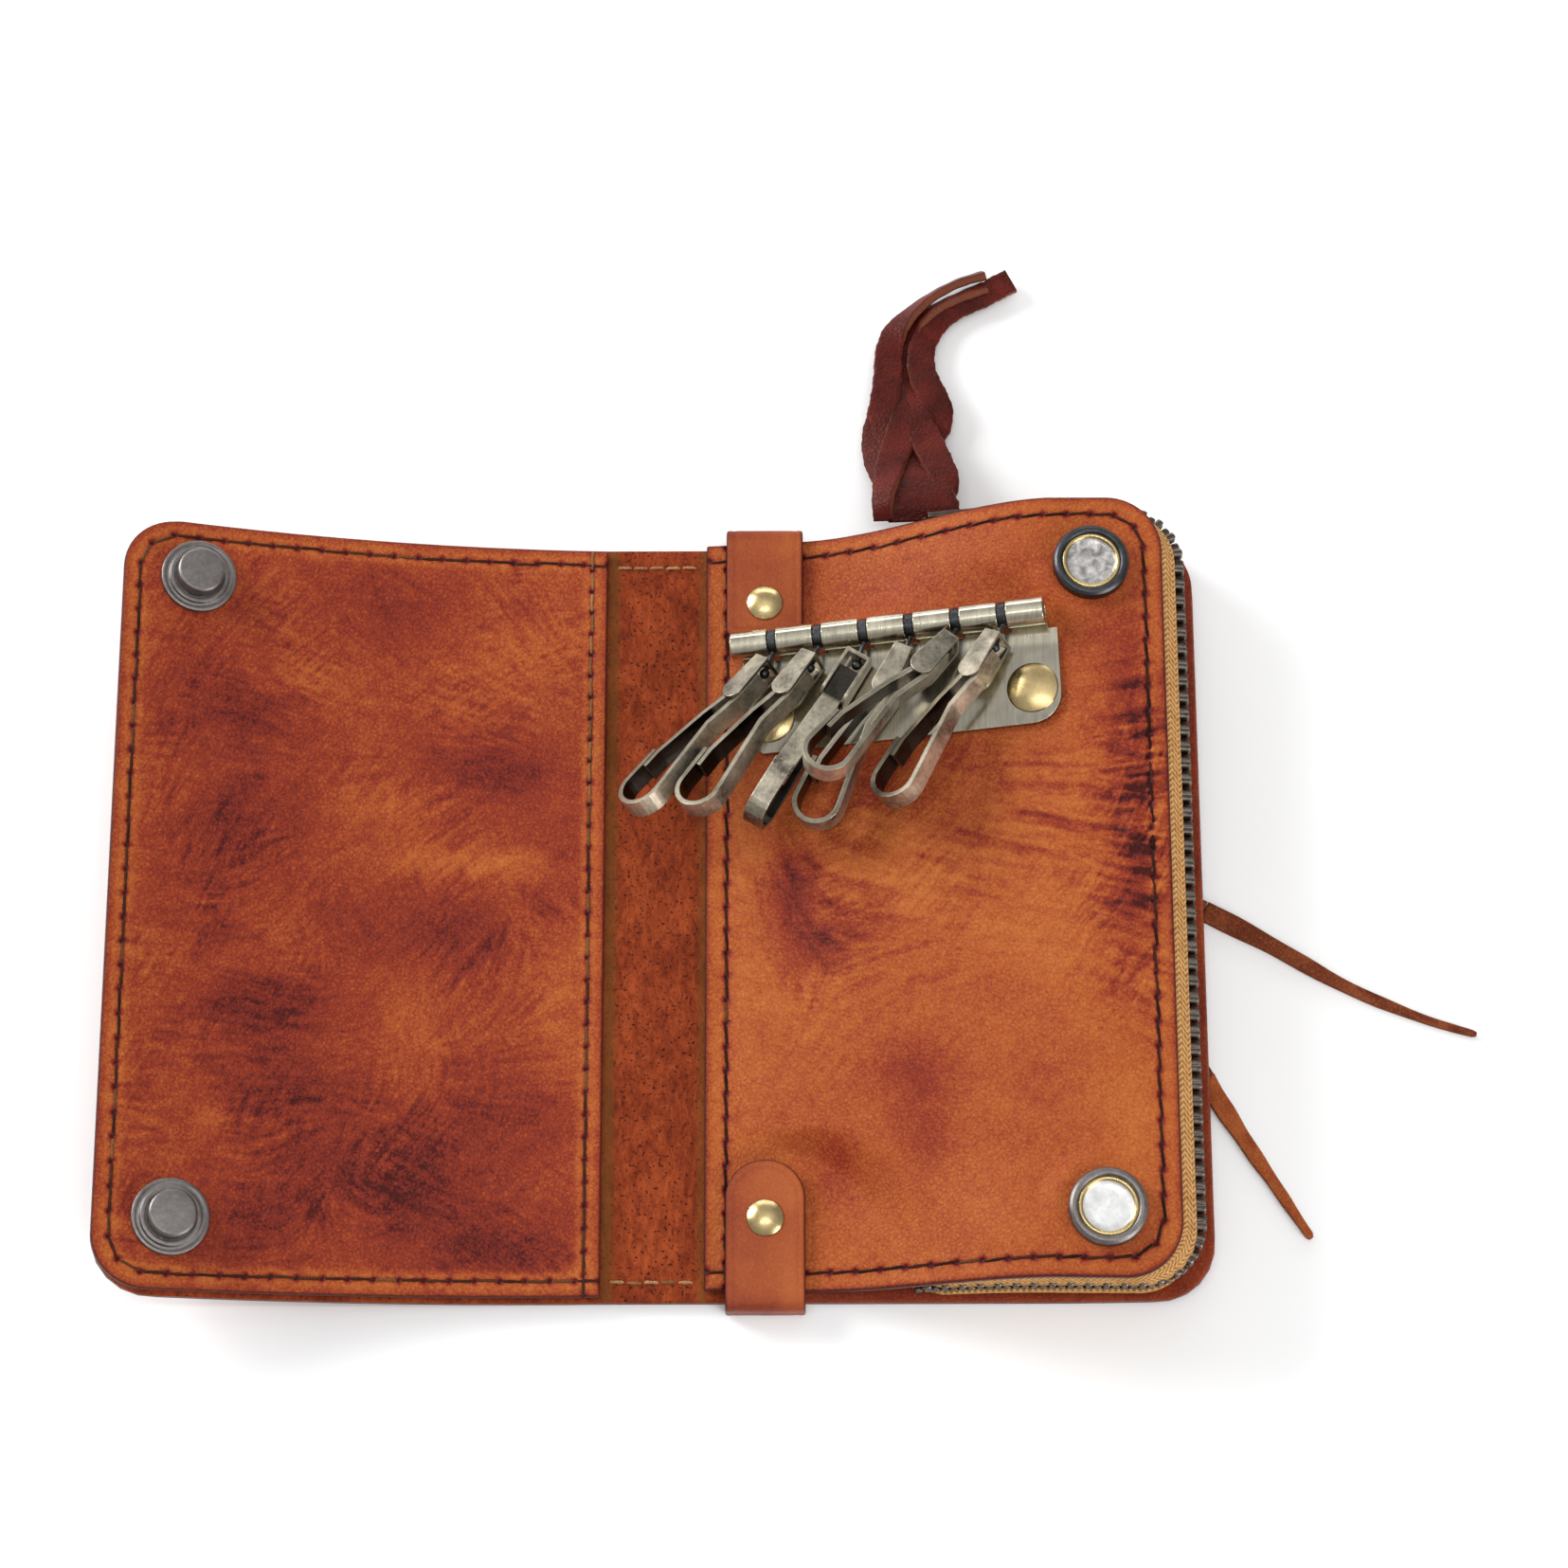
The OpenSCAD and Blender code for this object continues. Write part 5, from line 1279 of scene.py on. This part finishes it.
# ---------------------------------------------------------------- straps: thong, laces, braid
def strap(name, path, widths, thick, mat, tones=(0.3, 0.4), edge_mat=None, seed=1, close=True, steps=1,
          twist=None):
    """A flat strap along a path in space, with rounded edges: widths and thick run with the path."""
    P = np.asarray(path, float)
    n = len(P)
    W = np.broadcast_to(np.asarray(widths, float), (n,))
    T = np.broadcast_to(np.asarray(thick, float), (n,))
    tan = np.gradient(P, axis=0)
    tan /= np.linalg.norm(tan, axis=1)[:, None]
    up = np.array([0, 0, 1.0])
    side = np.cross(tan, up)
    side /= np.linalg.norm(side, axis=1)[:, None] + 1e-9
    nor = np.cross(side, tan)
    if twist is not None:
        c, s = np.cos(np.asarray(twist) * RAD)[:, None], np.sin(np.asarray(twist) * RAD)[:, None]
        side, nor = side * c + nor * s, nor * c - side * s
    # section: rounded rectangle
    m = 20
    sec = []
    for k in range(m):
        a = 2 * math.pi * (k + 0.5) / m
        sec.append((math.copysign(abs(math.cos(a)) ** 0.22, math.cos(a)),
                    math.copysign(abs(math.sin(a)) ** 0.45, math.sin(a))))
    sec = np.array(sec)
    co = (P[:, None, :] + side[:, None, :] * (sec[None, :, :1] * W[:, None, None] / 2)
          + nor[:, None, :] * (sec[None, :, 1:] * T[:, None, None] / 2))
    idx = np.arange(n * m).reshape(n, m)
    nxt = np.roll(idx, -1, axis=1)
    q = np.stack([idx[:-1], nxt[:-1], nxt[1:], idx[1:]], -1).reshape(-1, 4)
    caps = np.array([list(idx[0][::-1]), list(idx[-1])])
    run = np.concatenate([[0], np.cumsum(np.linalg.norm(np.diff(P, axis=0), axis=1))])
    st = tones[0] + tones[1] * fbm(np.repeat(run, m).reshape(n, m) / 3.0 + seed,
                                   sec[None, :, 0] * 1.2 + 0 * run[:, None], seed, 4)
    rim = smooth((np.abs(sec[None, :, 0]) - 0.95) / 0.05) * 0.9 + 0 * st
    ob = build(name, co.reshape(-1, 3), [q[:, ::-1], caps[:, ::-1]],
               {"stain": st, "shaded_crease": 0 * st, "rim": rim, "band": 0 * st}, [mat])
    return ob


def resample(points, step):
    """A smooth curve through points, sampled evenly."""
    p = np.asarray(points, float)
    n = len(p)
    ext = np.vstack([2 * p[0] - p[1], p, 2 * p[-1] - p[-2]])
    out = []
    for i in range(n - 1):
        p0, p1, p2, p3 = ext[i], ext[i + 1], ext[i + 2], ext[i + 3]
        for t in np.linspace(0, 1, 16, endpoint=False):
            out.append(0.5 * ((2 * p1) + (-p0 + p2) * t + (2 * p0 - 5 * p1 + 4 * p2 - p3) * t ** 2 + (-p0 + 3 * p1 - 3 * p2 + p3) * t ** 3))
    out.append(p[-1])
    out = np.array(out)
    run = run_of(out)
    k = max(2, int(round(run[-1] / step)))
    s = np.linspace(0, run[-1], k + 1)
    return np.stack([np.interp(s, run, out[:, j]) for j in range(out.shape[1])], -1), run[-1]


long_line = [(88.9, 0.9), (94, -1.8), (99, -4.6), (104, -7.6), (109, -10.6), (114, -13.2), (119, -15.4),
             (124, -17.4), (128, -18.7), (131.8, -19.8)]
short_line = [(88.1, -27.1), (91, -32), (93.4, -36), (96, -40.2), (98.8, -44.6), (101.4, -48.8), (104, -52.9)]
for nm, line, w0, w1, mat_, seed in (("lace_long", long_line, 3.6, 1.0, LACE_A, 5),
                                     ("lace_short", short_line, 3.5, 1.3, LACE_B, 9)):
    path, L = resample([(x, y, 0.66) for x, y in line], 0.6)
    f = np.linspace(0, 1, len(path))
    w = (w0 + (w1 - w0) * f ** 0.9) * (1 + 0.05 * np.sin(f * 23 + seed))
    w[-1] *= 0.55
    lace = strap(nm + "_strap", path, w, 1.15 - 0.25 * f, mat_, (0.25, 0.9), seed=seed)
    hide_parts(nm)
    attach(lace, "pocket")

bt = float(back_top(np.array(83.6))) + 0.1 + 0.6
thong_path = [(88.9, 0.9, 0.66), (86.5, 1.9, 0.66), (84.2, 2.9, 0.66), (83.1, 3.2, 1.2), (83.0, 3.0, bt - 0.4),
              (83.0, 1.6, bt),
              (83.0, -8.0, bt), (83.0, -17.6, bt), (83.0, -19.0, bt - 0.4), (83.1, -19.2, 1.2),
              (84.2, -20.6, 0.66), (86.4, -24.2, 0.66), (88.1, -27.1, 0.66)]
path, L = resample(thong_path, 0.6)
thong = strap("lace_thong_strap", path, 3.4, 1.1, LACE_A, (0.3, 0.7), seed=31)
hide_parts("lace_thong")
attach(thong, "pocket")

# the braid, each strand's middle line as (x, y, z, width, twist), from the slider to its loose end
BRAID_LINES = (
    [(40.0, 69.9, 6.2, 3.6, 0), (38.0, 74.3, 4.7, 3.8, 12), (36.6, 78.5, 3.2, 4.0, 22),
     (36.5, 83.0, 2.6, 4.6, 18), (37.6, 87.0, 3.0, 5.0, 8),
     (38.3, 90.7, 3.3, 4.9, 0), (38.7, 94.7, 2.8, 4.8, -4), (38.9, 98.6, 2.4, 4.6, -6),
     (40.0, 102.4, 2.4, 4.2, 20), (42.2, 105.3, 2.6, 3.8, 48),
     (45.9, 108.6, 2.6, 3.5, 62), (50.6, 111.4, 2.5, 3.4, 64), (55.2, 113.0, 2.4, 3.2, 58)],
    [(37.7, 66.8, 6.2, 3.2, 20), (37.5, 69.0, 7.5, 3.6, 34), (38.0, 72.6, 7.2, 4.4, 24),
     (39.1, 77.4, 5.5, 5.0, 6), (40.4, 81.8, 4.1, 5.3, 0),
     (41.6, 86.2, 3.4, 5.2, 0), (42.4, 89.6, 2.7, 4.8, 0), (42.8, 93.0, 1.5, 4.4, 0),
     (42.9, 96.1, 1.0, 4.0, 0)],
    [(46.4, 69.6, 6.1, 4.2, 0), (47.9, 73.2, 6.5, 4.8, 0), (46.6, 77.7, 5.4, 5.2, 0), (44.7, 82.5, 4.1, 5.3, 0),
     (43.0, 86.7, 3.4, 5.2, 0),
     (41.9, 90.3, 2.5, 4.8, 0), (41.4, 94.0, 1.3, 4.4, 0), (41.4, 97.4, 1.0, 4.4, 0),
     (42.0, 101.2, 1.1, 4.0, 10), (43.8, 104.4, 1.9, 3.6, 42),
     (47.2, 107.0, 2.3, 3.4, 58), (51.4, 109.1, 2.4, 3.3, 58), (55.4, 110.8, 2.3, 3.2, 46)],
    [(44.3, 66.6, 6.2, 11.8, 0), (44.2, 69.2, 7.3, 11.8, 0), (43.9, 72.2, 6.8, 9.8, 0),
     (43.9, 76.2, 4.9, 5.4, 0), (44.4, 80.1, 2.9, 4.0, 0),
     (45.7, 83.0, 2.0, 4.2, 0), (47.1, 85.6, 2.4, 4.6, 0), (47.0, 88.2, 3.1, 5.0, 0), (45.8, 91.1, 3.2, 5.0, 0),
     (44.6, 94.3, 2.8, 4.8, 0),
     (44.3, 97.6, 2.4, 4.7, 0), (45.0, 101.0, 2.1, 4.4, -6), (47.3, 104.7, 1.9, 4.1, -14),
     (50.5, 107.2, 2.0, 3.9, -18), (54.7, 109.2, 2.1, 4.0, -14),
     (57.6, 110.9, 2.2, 4.2, -6), (59.7, 112.0, 2.2, 4.3, 0)])
strands = []
for k, line in enumerate(BRAID_LINES):
    rows = np.array(line, float)
    path, _ = resample(rows[:, :3], 0.35)
    knots = run_of(rows[:, :3])
    run = np.linspace(0, knots[-1], len(path))
    blur = np.ones(9) / 9
    w, tw = (np.convolve(np.pad(np.interp(run, knots, rows[:, c]), 4, mode="edge"), blur, "valid") for c in (3,
                                                                                                             4))
    w = w * (1 + 0.025 * np.sin(run * 2.1 + k) + 0.02 * np.sin(run * 5.3 + 2 * k))
    th = 1.45 + 0.06 * np.sin(run * 1.7 + k)
    half = np.abs(np.sin(tw * RAD)) * w / 2 + np.abs(np.cos(tw * RAD)) * th / 2
    path[:, 2] = np.maximum(path[:, 2], half + 0.1)
    strands.append(strap("braid_strand_%d" % (k + 1), path, w, th, BRAID, (0.35, 1.1), seed=41 + k, twist=tw))
for strand in strands:
    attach(strand, "puller")
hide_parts("zip_puller")


# ---------------------------------------------------------------- snaps, turned from their profiles
def revolve(name, profile, at, tilt, mats, n=96):
    """A turned piece: profile of radius and height, its foot at a place, its axis tilted about Y."""
    prof = np.array(profile, float)
    a = np.arange(n) * 2 * math.pi / n
    x = prof[:, None, 0] * np.cos(a)
    y = prof[:, None, 0] * np.sin(a)
    z = np.broadcast_to(prof[:, None, 1], x.shape)
    co = np.stack([at[0] + x * math.cos(tilt) + z * math.sin(tilt), at[1] + y,
                   at[2] - x * math.sin(tilt) + z * math.cos(tilt)], -1)
    return build(name, co.reshape(-1, 3), tube(len(prof), n), None, mats)


def rounded(points, r=0.16, n=4):
    """A profile with its corners eased."""
    out = [points[0]]
    for a, b, c in zip(points[:-2], points[1:-1], points[2:]):
        a, b, c = (np.array(v, float) for v in (a, b, c))
        ra, rc = min(r, np.linalg.norm(b - a) / 2.1), min(r, np.linalg.norm(c - b) / 2.1)
        p0, p2 = b + (a - b) / np.linalg.norm(a - b) * ra, b + (c - b) / np.linalg.norm(c - b) * rc
        out += [tuple((1 - t) ** 2 * p0 + 2 * t * (1 - t) * b + t ** 2 * p2) for t in np.linspace(0, 1, n)]
    return out + [points[-1]]


POST_R, POST_H = 3.8, 3.9
stud_prof = rounded([(0.001, 0), (6.1, 0.0), (6.1, 0.82), (5.55, 0.92), (5.45, 0.80), (4.85, 0.84), (4.8, 1.38),
                     (4.05, 1.42),
                     (3.9, 1.15), (POST_R, 1.3), (POST_R, POST_H - 0.28), (POST_R - 0.35, POST_H),
                     (0.001, POST_H)])
sock_prof = rounded([(0.001, 0.0), (6.1, 0.0), (6.1, 1.75), (5.55, 2.2), (5.0, 2.2), (4.72, 1.95), (4.66, 0.9),
                     (4.66, 0.45), (0.001, 0.45)])
ring_prof = [(4.36 + 0.42 * math.cos(t), 1.55 + 0.40 * math.sin(t)) for t in np.linspace(0, 2 * math.pi, 15)]
pan_prof = [(0.001, 0.62), (1.2, 0.63), (2.6, 0.60), (3.6, 0.62), (4.1, 0.80), (4.4, 1.1), (4.62, 1.15)]
sx_, sz_ = flap_pt(stud_s, lining_top + skin_gap)
for name, y, part in (("upper", snap_up, 0), ("lower", -snap_low, 1)):
    st = revolve("stud_%s_turned" % name, stud_prof, (float(sx_), y, float(sz_)), stud_s / curl_r, [GUN])
    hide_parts("stud_" + name)
    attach(st, "flap")
    at = (socket_p[0], y, socket_p[1])
    # The upper snap's socket and pan take the darker metals: painted shade on one of two like snaps.
    so = revolve("socket_%s_turned" % name, sock_prof, at, socket_tilt, [GUN_DARK if part == 0 else GUN])
    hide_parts("socket_" + name)
    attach(so, "pocket")
    pan = revolve("socket_pan_" + name, pan_prof, at, socket_tilt, [PAN_SHADED if part == 0 else PAN_LIT])
    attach(pan, "pocket")
    ring = revolve("spring_ring_" + name, ring_prof, at, socket_tilt, [RING])
    if part == 0:
        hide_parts("spring_rings")
    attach(ring, "pocket")

# ---------------------------------------------------------------- floor
def floor_mat():
    m, nt, b = new_mat("floor")
    n = noise(nt, coords(nt), 6, 2, 0.5)
    nt.links.new(ramp(nt, n, [(0.3, (0.93, 0.93, 0.93)), (0.7, (0.95, 0.95, 0.95))]), b.inputs["Base Color"])
    b.inputs["Roughness"].default_value = 0.9
    b.inputs["Specular IOR Level"].default_value = 0.1
    b.inputs["Emission Color"].default_value = (1, 1, 1, 1)
    lp = nd(nt, "LightPath")
    seen = math_n(nt, "MAXIMUM", lp.outputs["Is Camera Ray"], lp.outputs["Is Glossy Ray"])
    seen = math_n(nt, "MAXIMUM", seen, lp.outputs["Is Transmission Ray"])
    nt.links.new(math_n(nt, "MULTIPLY", seen, 0.04), b.inputs["Emission Strength"])
    return m


S = 6000
floor = build("floor", [(-S, -S, -0.02), (S, -S, -0.02), (S, S, -0.02), (-S, S, -0.02)],
              np.array([[0, 1, 2, 3]]), None, [floor_mat()])
